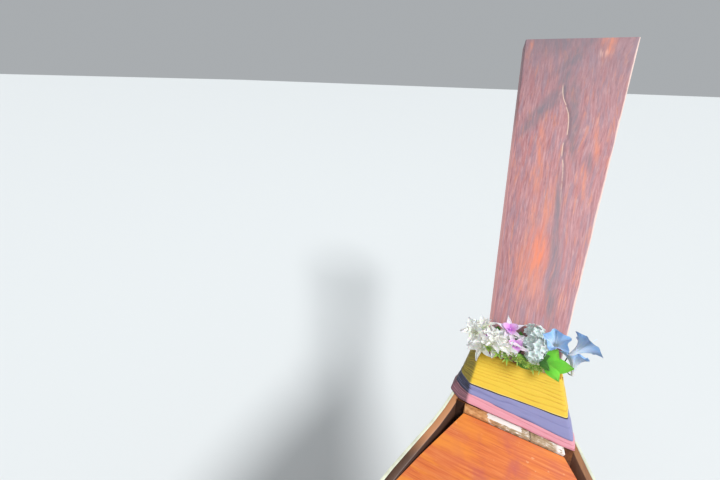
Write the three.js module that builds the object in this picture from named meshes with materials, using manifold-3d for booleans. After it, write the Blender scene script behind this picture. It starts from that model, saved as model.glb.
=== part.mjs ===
// Longtail boat of the Andaman coast, with a dressed prow board and a tilting engine on its long tail.
// Millimetres. +X is forward, +Y is port, +Z is up. The origin is on the waterline, amidships.
import * as THREE from 'three';
import { mergeVertices } from 'three/addons/utils/BufferGeometryUtils.js';
import Module from 'manifold-3d';

const wasm = await Module();
wasm.setup();

// Clearances and timber sizes
const GAP = 0.4;
const SEAM = 0.25;
const PLANK = 18;
const LEAST_HALF = 2;
const FRAME_DEPTH = 42;
const FRAME_WIDTH = 44;
const FRAME_SPACING = 450;
const FRAME_FIRST = -4050;
const FRAME_SETS = [
  ['frames_stern', 0, 3],
  ['frames_aft', 3, 6],
  ['frames_middle', 6, 9],
  ['frames_fore', 9, 12],
  ['frames_bow', 12, 15],
];
const FLOOR_TOP = -188;
const FLOORBOARD = 22;
const KEEL_DEPTH = 42;
const STRIP = { thick: 8, deep: 46 };

// Lengths of timber in the keel and the garboards, butted over frames
const LENGTHS = [
  ['_aft', -5200, -1800],
  ['_middle', -1800, 900],
  ['_fore', 900, 5200],
];

// Half sections of the hull, on the outer face of its planks, from stern to stem. A section leans in profile
// from its keel point to its sheer point, so that the last one lies along the raked stem.
// Columns: xKeel, xSheer, yKeel, zKeel, then y and z of the garboard, bilge and side seams and of the sheer
const STATIONS = [
  [-4620, -4820, 40, -60, 170, -38, 330, 45, 450, 265, 555, 692],
  [-4000, -4080, 40, -160, 265, -140, 490, -50, 645, 170, 740, 625],
  [-3000, -3000, 40, -240, 370, -216, 655, -105, 815, 130, 885, 572],
  [-1800, -1800, 40, -278, 440, -254, 755, -125, 912, 125, 965, 548],
  [-400, -400, 40, -290, 455, -266, 785, -132, 940, 130, 990, 548],
  [1000, 1000, 40, -286, 405, -262, 705, -128, 880, 140, 955, 602],
  [1960, 2080, 40, -276, 290, -243, 545, -90, 735, 200, 850, 704],
  [2410, 2800, 40, -264, 180, -215, 372, -20, 545, 315, 690, 816],
  [2630, 3400, 40, -254, 112, -170, 232, 90, 365, 455, 525, 919],
  [2765, 3850, 42, -248, 82, -125, 155, 180, 243, 565, 366, 1007],
  [2845, 4100, 44, -244, 66, -80, 110, 250, 172, 660, 266, 1059],
  [2890, 4240, 45, -242, 58, -55, 88, 285, 132, 705, 202, 1088],
  [2929, 4350, 46, -240, 53, -35, 70, 320, 100, 740, 158, 1107],
];
const STRAKES = ['garboard', 'bilge_strake', 'side_strake', 'sheer_strake'];

// Foredeck: a straight front edge, flush with the sheer. Columns: x, half width, z of its top
const DECK_THICK = 22;
const DECK_EDGE_BEVEL = 20;
const DECK = [
  [4300, 128, 1100],
  [4157, 219, 1069.5],
  [3850, 340, 1004],
  [3400, 499, 916],
  [2950, 622, 836],
];
const DECK_BEAMS = [4190, 3800, 3400];
const BATTEN_HEIGHT = 8;

// Prow: the aft faces of stem and board lie in one raked plane, which passes FACE_X at the height FACE_Z
const RAKE = THREE.MathUtils.degToRad(46.53);
const FACE_X = 4317;
const FACE_Z = 1100;
const STEM = { thick: 90, rabbet: 25, foot: -285, head: 180, headHalf: 118, headTop: 106, slack: 3 };
const CUTWATER = { low: 26, high: 48 };
const BOARD = { foot: -45, top: 1470, thick: 46, halfAtDeck: 80.5, flare: 0.078 };

// Sashes round the stem head. Columns: name, colour, lower z, upper z
const SASHES = [
  ['sash_pink', 0xf08fa8, 1108.6, 1124],
  ['sash_blue', 0x8fa6ee, 1124.4, 1150],
  ['sash_yellow', 0xd9a406, 1150.4, 1226],
];
// Outer outline of the sashes. Columns: z, half width of the aft face, half width at the gunwale tips
const SASH_OUTLINE = [
  [1108.6, 127, 169],
  [1150, 124, 156],
  [1226, 117, 134],
];
const SASH_THICK = 10;
const GARLAND = { u: 238, tall: 64, deep: 44, left: 172, right: 168 };

// Benches stand between two frames; posts of the canopy stand on three of them
const BENCH_X = [1575, 675, -225, -1125, -2025];
const BENCH = { top: 205, thick: 28, long: 290, cleat: 60 };

// Canopy. Columns of CANOPY_POSTS: x, y of the post's middle
const CANOPY_POSTS = [
  [1575, 755],
  [-225, 862],
  [-2025, 850],
];
const CANOPY = { railTop: 1622, rail: 44, rise: 190, overhang: 310, eave: 75, cloth: 6, bow: 36, steps: 10 };

// Stern
const HELM_DECK = { aft: -4230, fore: -3270, top: 300, thick: 22 };
const TANK = { x: -3760, y: -300, long: 360, wide: 210, tall: 290 };
const TRANSOM_THICK = 32;

// Engine on its swivel. The pivot is where the swivel's vertical pin and the tilt pins' axis cross.
const PIVOT = new THREE.Vector3(-4350, 0, 1050);
const SHAFT_SLOPE = THREE.MathUtils.degToRad(18.3);
const BED = { half: 650, long: 120, top: 738, socketTop: 838, socket: 150, kingPost: 90 };
const SWIVEL = { pin: 20, pinFoot: 702, plate: 18, arm: 18, armInside: 176, armLong: 68, armTop: 42 };
const TRUNNION = { pin: 16, boss: 30, railOutside: 156, rail: 16 };
const TAIL = { tube: 32, sides: 16, end: -4190, hub: -4275, propeller: 165 };
const TILLER_REACH = 1850;

const WOOD = material(0x7a4426, 0.55, 0);
const DARK_WOOD = material(0x59311d, 0.65, 0);
const VARNISH = material(0xb4551d, 0.3, 0);
const CREAM = material(0xe3e6cf, 0.45, 0);
const STEEL = material(0x6f7377, 0.45, 0.9);
const ENGINE_PAINT = material(0x3f6f8c, 0.5, 0.2);
const ALLOY = material(0xa4a7a8, 0.4, 0.8);
const RUBBER = material(0x1d1d1e, 0.8, 0);

function material(color, roughness, metalness) {
  return new THREE.MeshStandardMaterial({ color, roughness, metalness });
}

// Turning shapes into solids and back

function toSolid(source) {
  const bare = new THREE.BufferGeometry();
  bare.setAttribute('position', source.getAttribute('position').clone());
  if (source.index) bare.setIndex(source.index.clone());
  const merged = mergeVertices(bare, 1e-3);
  const mesh = new wasm.Mesh({
    numProp: 3,
    vertProperties: new Float32Array(merged.getAttribute('position').array),
    triVerts: new Uint32Array(merged.index.array),
  });
  return new wasm.Manifold(mesh);
}

function toGeometry(solid) {
  const { vertProperties, triVerts } = solid.getMesh();
  const geometry = new THREE.BufferGeometry();
  geometry.setAttribute('position', new THREE.BufferAttribute(new Float32Array(vertProperties), 3));
  geometry.setIndex(new THREE.BufferAttribute(new Uint32Array(triVerts), 1));
  return geometry;
}

function union(solids) {
  return solids.reduce((sum, one) => sum.add(one));
}

// A closed skin over rings of points. An edge in crossed has its squares split on the other diagonal.
function loft(rings, crossed = []) {
  const count = rings[0].length;
  const points = rings.flat();
  const faces = [];
  for (let i = 0; i + 1 < rings.length; i += 1) {
    for (let k = 0; k < count; k += 1) {
      const next = (k + 1) % count;
      const [a, b] = [i * count + k, i * count + next];
      const [d, c] = [a + count, b + count];
      if (crossed.includes(k)) faces.push([a, b, d], [b, c, d]);
      else faces.push([a, b, c], [a, c, d]);
    }
  }
  const last = (rings.length - 1) * count;
  for (const [p, q, r] of capFaces(rings[0])) faces.push([r, q, p]);
  for (const [p, q, r] of capFaces(rings.at(-1))) faces.push([last + p, last + q, last + r]);
  return skin(points, faces);
}

// Triangles over one flat ring, wound as the ring is
function capFaces(ring) {
  const normal = new THREE.Vector3();
  ring.forEach((p, k) => {
    const q = ring[(k + 1) % ring.length];
    normal.x += (p.y - q.y) * (p.z + q.z);
    normal.y += (p.z - q.z) * (p.x + q.x);
    normal.z += (p.x - q.x) * (p.y + q.y);
  });
  normal.normalize();
  const across = new THREE.Vector3().subVectors(ring[1], ring[0]).normalize();
  const up = new THREE.Vector3().crossVectors(normal, across);
  const flat = ring.map((p) => new THREE.Vector2(p.dot(across), p.dot(up)));
  return THREE.ShapeUtils.triangulateShape(flat, []);
}

function skin(points, faces) {
  let volume = 0;
  const cross = new THREE.Vector3();
  for (const [a, b, c] of faces) volume += points[a].dot(cross.crossVectors(points[b], points[c]));
  const wound = volume < 0 ? faces.map(([a, b, c]) => [a, c, b]) : faces;
  const geometry = new THREE.BufferGeometry();
  geometry.setAttribute('position', new THREE.Float32BufferAttribute(points.flatMap((p) => p.toArray()), 3));
  geometry.setIndex(wound.flat());
  return geometry;
}

function mirror(source) {
  const copy = source.clone();
  copy.scale(1, -1, 1);
  const order = copy.index.array;
  for (let i = 0; i < order.length; i += 3) [order[i], order[i + 1]] = [order[i + 1], order[i]];
  return copy;
}

// A box between two corners
function block(x0, x1, y0, y1, z0, z1) {
  const box = new THREE.BoxGeometry(x1 - x0, y1 - y0, z1 - z0);
  return box.translate((x0 + x1) / 2, (y0 + y1) / 2, (z0 + z1) / 2);
}

// A round bar from one point to another
function bar(from, to, radius, sides = 12, endRadius = radius) {
  const [a, b] = [new THREE.Vector3(...from), new THREE.Vector3(...to)];
  const cylinder = new THREE.CylinderGeometry(endRadius, radius, a.distanceTo(b), sides);
  const turn = new THREE.Quaternion().setFromUnitVectors(
    new THREE.Vector3(0, 1, 0),
    b.clone().sub(a).normalize(),
  );
  const middle = a.add(b).multiplyScalar(0.5);
  return cylinder.applyQuaternion(turn).translate(middle.x, middle.y, middle.z);
}

// An outline in x and z, as thick as y0 to y1
function plate(outline, y0, y1) {
  const ring = (y) => outline.map(([x, z]) => new THREE.Vector3(x, y, z));
  return loft([ring(y0), ring(y1)]);
}

// The hull's sections

// The five seam points of a half section, inset from the planks' outer face. Each point is [y, s], with s
// measured up the section from its keel point. The planks' top edge is level.
function halfSection(row, inset) {
  const [xKeel, xSheer, yKeel, zKeel, ...rest] = row;
  const run = xSheer - xKeel;
  const rise = rest.at(-1) - zKeel;
  const lean = Math.hypot(run, rise) / rise;
  const outer = [[yKeel, 0]];
  for (let k = 0; k < rest.length; k += 2) outer.push([rest[k], (rest[k + 1] - zKeel) * lean]);
  const directions = outer.slice(1).map(([y, s], k) => {
    const length = Math.hypot(y - outer[k][0], s - outer[k][1]);
    return [(y - outer[k][0]) / length, (s - outer[k][1]) / length];
  });
  const inward = directions.map(([dy, ds]) => [-ds, dy]);
  const moved = outer.map(([y, s], k) => {
    const below = inward[Math.max(k - 1, 0)];
    const above = inward[Math.min(k, inward.length - 1)];
    const share = inset / (1 + below[0] * above[0] + below[1] * above[1]);
    return [Math.max(y + (below[0] + above[0]) * share, LEAST_HALF), s + (below[1] + above[1]) * share];
  });
  const [ySheer, sSheer] = outer.at(-1);
  moved[moved.length - 1] = [ySheer - inset / directions.at(-1)[1], sSheer];
  const place = ([y, s]) => new THREE.Vector3(xKeel + (s / lean) * (run / rise), y, zKeel + s / lean);
  return { points: moved, directions, place };
}

// One strake on the port side: its corners at each station, with half a seam left open at each edge. The
// uppermost has one more line on its outside, where the gunwale strip's lower edge lies.
function strake(index) {
  const top = index === STRAKES.length - 1;
  const rings = STATIONS.map((row) => {
    const outer = halfSection(row, 0);
    const inner = halfSection(row, PLANK);
    const [dy, ds] = outer.directions[index];
    const shift = ([y, s], by) => outer.place([y + dy * by, s + ds * by]);
    return [
      shift(outer.points[index], index === 0 ? 0 : SEAM),
      shift(outer.points[index + 1], top ? -STRIP.deep : -SEAM),
      ...(top ? [shift(outer.points[index + 1], 0)] : []),
      shift(inner.points[index + 1], top ? 0 : -SEAM),
      shift(inner.points[index], index === 0 ? 0 : SEAM),
    ];
  });
  const outerFaces = top ? [0, 1] : [0];
  const lowerSeam = rings[0].length - 1;
  return loft(rings, [...outerFaces, lowerSeam]);
}

// The space inside the hull as a solid, inset from the planks' outer face, up to lift past the sheer
function hullSpace(inset, lift) {
  const rings = STATIONS.map((row) => {
    const { points, place } = halfSection(row, inset);
    const [ySheer, sSheer] = points.at(-1);
    const side = [...points, [ySheer, sSheer + lift]];
    const port = side.map(place).reverse();
    const starboard = side.map(place).map((p) => p.setY(-p.y));
    return [...port, ...starboard];
  });
  const perSide = rings[0].length / 2;
  const starboardEdges = Array.from({ length: perSide - 1 }, (_, k) => perSide + k);
  return toSolid(loft(rings, starboardEdges));
}

// The same space, cut off below the sheer by a slightly wider solid
function hullSpaceBelow(inset, drop) {
  const [wider, lower] = [12, 20];
  const rings = STATIONS.map((row) => {
    const { points, place } = halfSection(row, inset - wider);
    const [ySheer, sSheer] = points.at(-1);
    const side = [[ySheer, points[0][1] - lower], [ySheer, sSheer - drop]];
    const port = side.map(place).reverse();
    const starboard = side.map(place).map((p) => p.setY(-p.y));
    return [...port, ...starboard];
  });
  return hullSpace(inset, 1).intersect(toSolid(loft(rings)));
}

// Linear reading of a table whose first column is x
function between(table, x) {
  const rows = [...table].sort((p, q) => p[0] - q[0]);
  const next = Math.max(1, rows.findIndex((row, k) => row[0] >= x || k === rows.length - 1));
  const [low, high] = [rows[next - 1], rows[next]];
  const share = (x - low[0]) / (high[0] - low[0]);
  return low.slice(1).map((value, k) => value + (high[k + 1] - value) * share);
}

const inside = hullSpace(PLANK + GAP, 60);

// Backbone

function keel() {
  const scarf = STATIONS.length - 1;
  const rings = STATIONS.slice(0, scarf).map((row) => {
    const { points, place } = halfSection(row, PLANK);
    const top = place(points[0]);
    const half = top.y - GAP;
    const corner = (y, x, z) => new THREE.Vector3(x, y, z);
    const foot = [row[0], row[3] - KEEL_DEPTH];
    const upper = [top.x, top.z];
    return [corner(half, ...foot), corner(half, ...upper), corner(-half, ...upper), corner(-half, ...foot)];
  });
  const clearOfStem = stemBlank(GAP);
  return toGeometry(toSolid(loft(rings)).subtract(clearOfStem));
}

// A long timber cut in its lengths, each with the end of its name
function inLengths(timber) {
  const whole = toSolid(timber);
  return LENGTHS.map(([suffix, aft, fore]) => (
    [suffix, toGeometry(whole.intersect(toSolid(block(aft, fore - GAP, -1200, 1200, -800, 800))))]
  ));
}

const faceX = (z) => FACE_X + (z - FACE_Z) * Math.tan(RAKE);

// Points of the prow: u up the raked face from deck height, v forward of the face, square to it
function prowPoint(u, v, y) {
  const x = FACE_X + u * Math.sin(RAKE) + v * Math.cos(RAKE);
  return new THREE.Vector3(x, y, FACE_Z + u * Math.cos(RAKE) - v * Math.sin(RAKE));
}

// The stem below the sheer: a part that fills the space between the planks, then one over their ends
function stemBlank(grow) {
  const reach = STEM.rabbet - 1;
  const [low, high] = [STEM.foot, STATIONS.at(-1).at(-1)];
  const outline = [[faceX(low) - grow, low], [faceX(low) + reach, low], [faceX(high) + reach, high],
    [faceX(high) - grow, high]];
  return stemFront(grow).add(toSolid(plate(outline, -300, 300)).intersect(inside));
}

// The stem's front over the planks' ends, with a cutwater that is narrow at the foot
function stemFront(grow) {
  const last = STATIONS.at(-1);
  const level = STEM.thick / Math.cos(RAKE);
  const outer = halfSection(last, 0);
  const inner = halfSection(last, PLANK + STEM.slack);
  const heights = outer.points.map((point, k) => ({
    z: outer.place(point).z,
    wide: point[0],
    narrow: inner.points[k][0],
  }));
  const foot = { ...heights[0], z: STEM.foot };
  const rings = [foot, ...heights].map(({ z, wide, narrow }) => {
    const share = (z - STEM.foot) / (heights.at(-1).z - STEM.foot);
    const cut = THREE.MathUtils.lerp(CUTWATER.low, CUTWATER.high, share) + grow;
    const back = faceX(z) - grow;
    const step = faceX(z) + STEM.rabbet + 1 - grow;
    const front = faceX(z) + level + grow;
    const half = [[back, narrow + grow], [step, narrow + grow], [step, wide + grow], [front, cut]];
    const port = half.map(([x, y]) => new THREE.Vector3(x, y, z));
    const starboard = half.map(([x, y]) => new THREE.Vector3(x, -y, z)).reverse();
    return [...port, ...starboard];
  });
  return toSolid(loft(rings));
}

// The board, which flares towards its top, grown all over to make the room that it stands in
function boardBlank(grow) {
  const [foot, top] = [BOARD.foot - grow, BOARD.top];
  const half = (u) => BOARD.halfAtDeck + BOARD.flare * u + grow;
  const corners = [[foot, half(foot)], [foot, -half(foot)], [top, -half(top)], [top, half(top)]];
  const ring = (v) => corners.map(([u, y]) => prowPoint(u, v, y));
  return loft([ring(-grow), ring(BOARD.thick + grow)]);
}

// The stem above the sheer, behind which the board stands
function stemHead(grow) {
  const ring = (u, half) => {
    const cut = CUTWATER.high + grow;
    const wide = half + grow;
    const shoulder = BOARD.thick;
    const outline = [[-grow, wide], [shoulder, wide], [STEM.thick + grow, cut]];
    const port = outline.map(([v, y]) => prowPoint(u, v, y));
    const starboard = outline.map(([v, y]) => prowPoint(u, v, -y)).reverse();
    return [...port, ...starboard];
  };
  return toSolid(loft([ring(-20, STEM.headHalf), ring(STEM.head + grow, STEM.headTop)]));
}

function stem() {
  const body = stemBlank(0).add(stemHead(0));
  return toGeometry(body.subtract(toSolid(boardBlank(GAP))));
}

// Sashes and garland

function sash([, , low, high]) {
  const level = STEM.thick / Math.cos(RAKE);
  const cloth = SASH_THICK / Math.cos(RAKE);
  const ring = (z) => {
    const [aft, tip] = between(SASH_OUTLINE, z);
    const back = faceX(z) - cloth;
    const half = [
      [back, aft],
      [faceX(z) + STEM.rabbet, tip],
      [faceX(z) + level / 2, tip - 8],
      [faceX(z) + level + cloth, CUTWATER.high + SASH_THICK],
    ];
    const port = half.map(([x, y]) => new THREE.Vector3(x, y, z));
    const starboard = half.map(([x, y]) => new THREE.Vector3(x, -y, z)).reverse();
    return [...port, ...starboard];
  };
  const wrapped = stemHead(GAP).add(toSolid(boardBlank(GAP)));
  return toGeometry(toSolid(loft([ring(low), ring(high)])).subtract(wrapped));
}

function garland() {
  const width = GARLAND.left + GARLAND.right;
  const shares = [0, 0.06, 0.18, 0.35, 0.5, 0.65, 0.82, 0.94, 1];
  const sides = 8;
  const rings = shares.map((share) => {
    const y = GARLAND.left - share * width;
    const swell = Math.sqrt(Math.max(1 - (2 * share - 1) ** 4, 0.06));
    const ring = [];
    for (let k = 0; k < sides; k += 1) {
      const turn = ((k + 0.5) / sides) * 2 * Math.PI;
      const u = GARLAND.u + GARLAND.tall * swell * Math.cos(turn);
      const out = GARLAND.deep * (1 + (swell * Math.sin(turn)) / Math.cos(Math.PI / sides));
      ring.push(prowPoint(u, -Math.max(out, GAP), y));
    }
    return ring;
  });
  return loft(rings);
}

// Decks, frames and benches

function foredeck() {
  const rings = DECK.map(([x, half, z]) => {
    const under = half - DECK_EDGE_BEVEL;
    const corner = (y, down) => new THREE.Vector3(x, y, z - down);
    return [corner(half, 0), corner(under, DECK_THICK), corner(-under, DECK_THICK), corner(-half, 0)];
  });
  return toGeometry(toSolid(loft(rings)).intersect(inside).subtract(stemBlank(GAP)));
}

// Everything from the foredeck's underside upwards, wider and longer than the deck
function overDeck() {
  const [reach, high, beyond] = [1100, 1500, 200];
  const past = (end, next, by) => [end[0] + by, 0, end[2] + (by * (end[2] - next[2])) / (end[0] - next[0])];
  const line = [past(DECK[0], DECK[1], beyond), ...DECK, past(DECK.at(-1), DECK.at(-2), -beyond)];
  const rings = line.map(([x, , z]) => {
    const under = z - DECK_THICK - GAP;
    return [[reach, under], [reach, high], [-reach, high], [-reach, under]]
      .map(([y, height]) => new THREE.Vector3(x, y, height));
  });
  return toSolid(loft(rings));
}

function foredeckBeams() {
  const deep = 60;
  const wide = 46;
  const beams = DECK_BEAMS.map((x) => {
    const [, z] = between(DECK, x);
    const low = z - DECK_THICK - deep;
    return toSolid(block(x - wide / 2, x + wide / 2, -700, 700, low, z)).intersect(inside);
  });
  const carlin = DECK.slice(0, 4).map(([x, , z]) => {
    const end = Math.min(x, DECK_BEAMS[0]);
    const corner = (y, down) => new THREE.Vector3(end, y, z - down);
    return [corner(30, 0), corner(30, deep), corner(-30, deep), corner(-30, 0)];
  });
  const timbers = union([...beams, toSolid(loft(carlin))]);
  return toGeometry(timbers.subtract(overDeck()).subtract(stemBlank(GAP)));
}

function bulkhead() {
  const [x] = DECK.at(-1);
  const board = toSolid(block(x, x + 20, -900, 900, -190, 1000)).intersect(inside);
  return toGeometry(board.subtract(overDeck()).subtract(stemBlank(GAP)));
}

function deckBatten() {
  const [[x, half, z]] = DECK;
  const aft = x + GAP;
  const low = FACE_Z + (aft + GAP - FACE_X) / Math.tan(RAKE);
  const high = z + BATTEN_HEIGHT;
  return plate([[aft, low + 1], [faceX(high) - GAP, high], [aft, high]], -half, half);
}

// The frames from first up to end, on their stretch of the keelson
function frames(first, end) {
  const at = (k) => FRAME_FIRST + k * FRAME_SPACING;
  const shell = hullSpaceBelow(PLANK + GAP, 14);
  const overFloors = toSolid(block(-5200, 4600, -1200, 1200, FLOOR_TOP, 1500));
  const hollow = hullSpace(PLANK + FRAME_DEPTH, 80).intersect(overFloors);
  const slabs = [];
  for (let k = first; k < end; k += 1) {
    const half = FRAME_WIDTH / 2;
    slabs.push(toSolid(block(at(k) - half, at(k) + half, -1200, 1200, -400, 1100)));
  }
  const reach = (FRAME_SPACING - GAP) / 2;
  const keelson = toSolid(block(at(first) - reach, at(end - 1) + reach, -45, 45, -400, FLOOR_TOP + 70));
  return toGeometry(union([...slabs, keelson]).intersect(shell).subtract(hollow));
}

function floorboards() {
  const room = hullSpace(PLANK + FRAME_DEPTH + GAP, 1);
  const boards = block(-3180, 2300, -1000, 1000, FLOOR_TOP + GAP, FLOOR_TOP + GAP + FLOORBOARD);
  return toGeometry(toSolid(boards).intersect(room));
}

// A bench across the hull between two frames, with a cleat under each end
function bench(x) {
  const { top, thick, long, cleat } = BENCH;
  const [half, reach, cleatFrom] = [long / 2, 1100, 640];
  const seat = block(x - half, x + half, -reach, reach, top - thick, top);
  const inset = 30;
  const cleats = [[-reach, -cleatFrom], [cleatFrom, reach]].map(([y0, y1]) => (
    block(x - half + inset, x + half - inset, y0, y1, top - cleat, top - thick / 2)
  ));
  return toGeometry(union([seat, ...cleats].map(toSolid)).intersect(inside));
}

// Transom across the planks' after ends, leaning as they do
function transom() {
  const [xKeel, xSheer, , zKeel, ...rest] = STATIONS[0];
  const zSheer = rest.at(-1);
  const lean = (xSheer - xKeel) / (zSheer - zKeel);
  const at = (z) => xKeel + (z - zKeel) * lean;
  const [low, high] = [zKeel - 60, zSheer];
  const outline = [[at(low), low], [at(low) + TRANSOM_THICK, low], [at(high) + TRANSOM_THICK, high],
    [at(high), high]];
  return toGeometry(toSolid(plate(outline, -900, 900)).intersect(inside));
}

// Strip along the outside of the sheer, on the port side
function gunwaleStrip() {
  const rings = STATIONS.map((row) => {
    const { points, directions, place } = halfSection(row, -GAP);
    const [y, s] = points.at(-1);
    const [dy, ds] = directions.at(-1);
    const at = (out, down) => place([y + ds * out - dy * down, s - dy * out - ds * down]);
    return [at(0, STRIP.deep), at(0, 0), at(STRIP.thick, 0), at(STRIP.thick, STRIP.deep)];
  });
  const insideFace = 0;
  return loft(rings, [insideFace]);
}

function helmDeck() {
  const room = hullSpace(PLANK + FRAME_DEPTH + GAP, 1);
  const { aft, fore, top, thick } = HELM_DECK;
  return toGeometry(toSolid(block(aft, fore, -1000, 1000, top - thick, top)).intersect(room));
}

function fuelTank() {
  const { x, y, long, wide, tall } = TANK;
  const low = HELM_DECK.top + GAP;
  const high = low + tall;
  const middle = y + wide / 2;
  const body = toSolid(block(x, x + long, y, y + wide, low, high));
  const neck = toSolid(bar([x + 60, middle, high - 10], [x + 60, middle, high + 30], 26));
  const handle = toSolid(block(x + 130, x + 300, middle - 12, middle + 12, high - 5, high + 42));
  const grip = toSolid(block(x + 152, x + 278, y, y + wide, high, high + 24));
  return toGeometry(union([body, neck, handle.subtract(grip)]));
}

// Canopy

// The roof's arch, at a share of the way out from the ridge to the outer edge of the rail
const archHeight = (share) => CANOPY.railTop + CANOPY.rise * (1 - share ** 2);

const railY = (x) => between(CANOPY_POSTS, x)[0];
const archHalf = (x) => railY(x) + CANOPY.rail / 2;

function canopyFrame() {
  const half = CANOPY.rail / 2;
  const posts = CANOPY_POSTS.map(([x, y]) => toSolid(
    block(x - half, x + half, y - half, y + half, BENCH.top + GAP, CANOPY.railTop - half),
  ));
  const ends = [CANOPY_POSTS[0][0] + CANOPY.overhang - 40, CANOPY_POSTS.at(-1)[0] - CANOPY.overhang + 40];
  const rings = [ends[0], ...CANOPY_POSTS.map(([x]) => x), ends[1]].map((x) => {
    const y = railY(x);
    const corner = (dy, z) => new THREE.Vector3(x, y + dy, z);
    return [corner(half, CANOPY.railTop), corner(-half, CANOPY.railTop),
      corner(-half, CANOPY.railTop - CANOPY.rail), corner(half, CANOPY.railTop - CANOPY.rail)];
  });
  return toGeometry(union([...posts, toSolid(loft(rings))]));
}

function canopyBows() {
  const shares = [];
  for (let k = -CANOPY.steps; k <= CANOPY.steps; k += 1) shares.push(k / CANOPY.steps);
  const bows = BENCH_X.map((x) => {
    const top = shares.map((share) => [share, archHeight(share) - GAP]);
    const under = top.map(([share, z]) => [share, z - CANOPY.bow]).reverse();
    const outline = [...top, ...under];
    const ring = (px) => outline.map(([share, z]) => new THREE.Vector3(px, share * archHalf(px), z));
    return toSolid(loft([ring(x - 16), ring(x), ring(x + 16)])).intersect(betweenRails());
  });
  const top = archHeight(1 / CANOPY.steps) - GAP;
  const ridge = toSolid(block(BENCH_X.at(-1) - 250, BENCH_X[0] + 250, -20, 20, top - CANOPY.bow - 14, top));
  return toGeometry(union([...bows, ridge]));
}

// The room between the two rails, for what butts against them
function betweenRails() {
  const xs = CANOPY_POSTS.map(([x]) => x);
  const [low, high] = [1000, 2000];
  const rings = [xs[0] + 50, ...xs, xs.at(-1) - 50].map((x) => {
    const half = railY(x) - CANOPY.rail / 2 - GAP;
    const corners = [[half, high], [half, low], [-half, low], [-half, high]];
    return corners.map(([y, z]) => new THREE.Vector3(x, y, z));
  });
  return toSolid(loft(rings));
}

function canopyCover() {
  const ends = [CANOPY_POSTS[0][0] + CANOPY.overhang, CANOPY_POSTS.at(-1)[0] - CANOPY.overhang];
  const rings = [ends[0], ...BENCH_X, ends[1]].map((x) => {
    const y = archHalf(x);
    const hang = (y + CANOPY.eave) / y;
    const shares = [-hang];
    for (let k = -CANOPY.steps; k <= CANOPY.steps; k += 1) shares.push(k / CANOPY.steps);
    shares.push(hang);
    const under = shares.map((share) => new THREE.Vector3(x, share * y, archHeight(share)));
    const over = under.map((p) => p.clone().setZ(p.z + CANOPY.cloth)).reverse();
    return [...under, ...over];
  });
  return loft(rings);
}

// Stern gear

function engineBed() {
  const { half, long, top, socketTop, socket, kingPost } = BED;
  const { x } = PIVOT;
  const beam = toSolid(block(x - long / 2, x + long / 2, -half, half, 646, top));
  const seated = beam.subtract(hullSpace(-STRIP.thick - 2, GAP));
  const reach = kingPost / 2;
  const post = toSolid(block(x - reach, x + reach, -reach, reach, -300, top - 20)).intersect(inside);
  const head = toSolid(block(x - socket / 2, x + socket / 2, -socket / 2, socket / 2, top - 5, socketTop));
  const bore = toSolid(bar([x, 0, SWIVEL.pinFoot - 8], [x, 0, socketTop + 10], SWIVEL.pin + 0.6, 16));
  return toGeometry(union([seated, post, head]).subtract(bore));
}

// Fork that turns on the vertical pin and carries the tilt pins, about the pivot
function swivelFork() {
  const plateLow = BED.socketTop + GAP - PIVOT.z;
  const outside = SWIVEL.armInside + SWIVEL.arm;
  const reach = SWIVEL.armLong / 2;
  const pin = toSolid(bar([0, 0, SWIVEL.pinFoot - PIVOT.z], [0, 0, plateLow + 5], SWIVEL.pin, 16));
  const base = toSolid(block(-reach - 15, reach + 15, -outside, outside, plateLow, plateLow + SWIVEL.plate));
  const arms = [-1, 1].map((side) => {
    const [y0, y1] = [side * SWIVEL.armInside, side * outside].sort((a, b) => a - b);
    return toSolid(block(-reach, reach, y0, y1, plateLow + 5, SWIVEL.armTop));
  });
  const eye = toSolid(bar([0, -300, 0], [0, 300, 0], TRUNNION.pin + 0.6, 16));
  return toGeometry(union([pin, base, ...arms]).subtract(eye));
}

// The engine's own frame: x forward along the crankshaft from the pivot, z square to it

function cradle() {
  const outside = TRUNNION.railOutside;
  const within = outside - TRUNNION.rail;
  const rails = [-1, 1].map((side) => {
    const [y0, y1] = [side * within, side * outside].sort((a, b) => a - b);
    return toSolid(block(-130, 716, y0, y1, -34, 34));
  });
  const ends = [[-130, -112], [700, 716]].map(([x0, x1]) => (
    toSolid(block(x0, x1, -outside, outside, -60, 60))
  ));
  const boss = toSolid(bar([0, -SWIVEL.armInside + 5, 0], [0, -within - 2, 0], TRUNNION.boss, 16));
  const otherBoss = toSolid(bar([0, SWIVEL.armInside - 5, 0], [0, within + 2, 0], TRUNNION.boss, 16));
  const pinEnd = SWIVEL.armInside + SWIVEL.arm + 8;
  const pin = toSolid(bar([0, -pinEnd, 0], [0, -within - 2, 0], TRUNNION.pin, 16));
  const otherPin = toSolid(bar([0, pinEnd, 0], [0, within + 2, 0], TRUNNION.pin, 16));
  const bore = toSolid(bar([-200, 0, 0], [-50, 0, 0], TAIL.tube + GAP, TAIL.sides));
  return toGeometry(union([...rails, ...ends, boss, otherBoss, pin, otherPin]).subtract(bore));
}

function engineBlock() {
  const crankcase = block(190.4, 660, -115, 115, -110, 150);
  const head = block(205, 645, -104, 104, 140, 234);
  const pan = [[215, -100], [215, -160], [300, -198], [600, -198], [640, -160], [640, -100]];
  const sump = plate(pan, -92, 92);
  const feet = [[260, 320], [560, 620]].flatMap(([x0, x1]) => [-1, 1].map((side) => {
    const [y0, y1] = [side * 110, side * (TRUNNION.railOutside - TRUNNION.rail - GAP)].sort((a, b) => a - b);
    return block(x0, x1, y0, y1, -30, 26);
  }));
  return toGeometry(union([crankcase, head, sump, ...feet].map(toSolid)));
}

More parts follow.
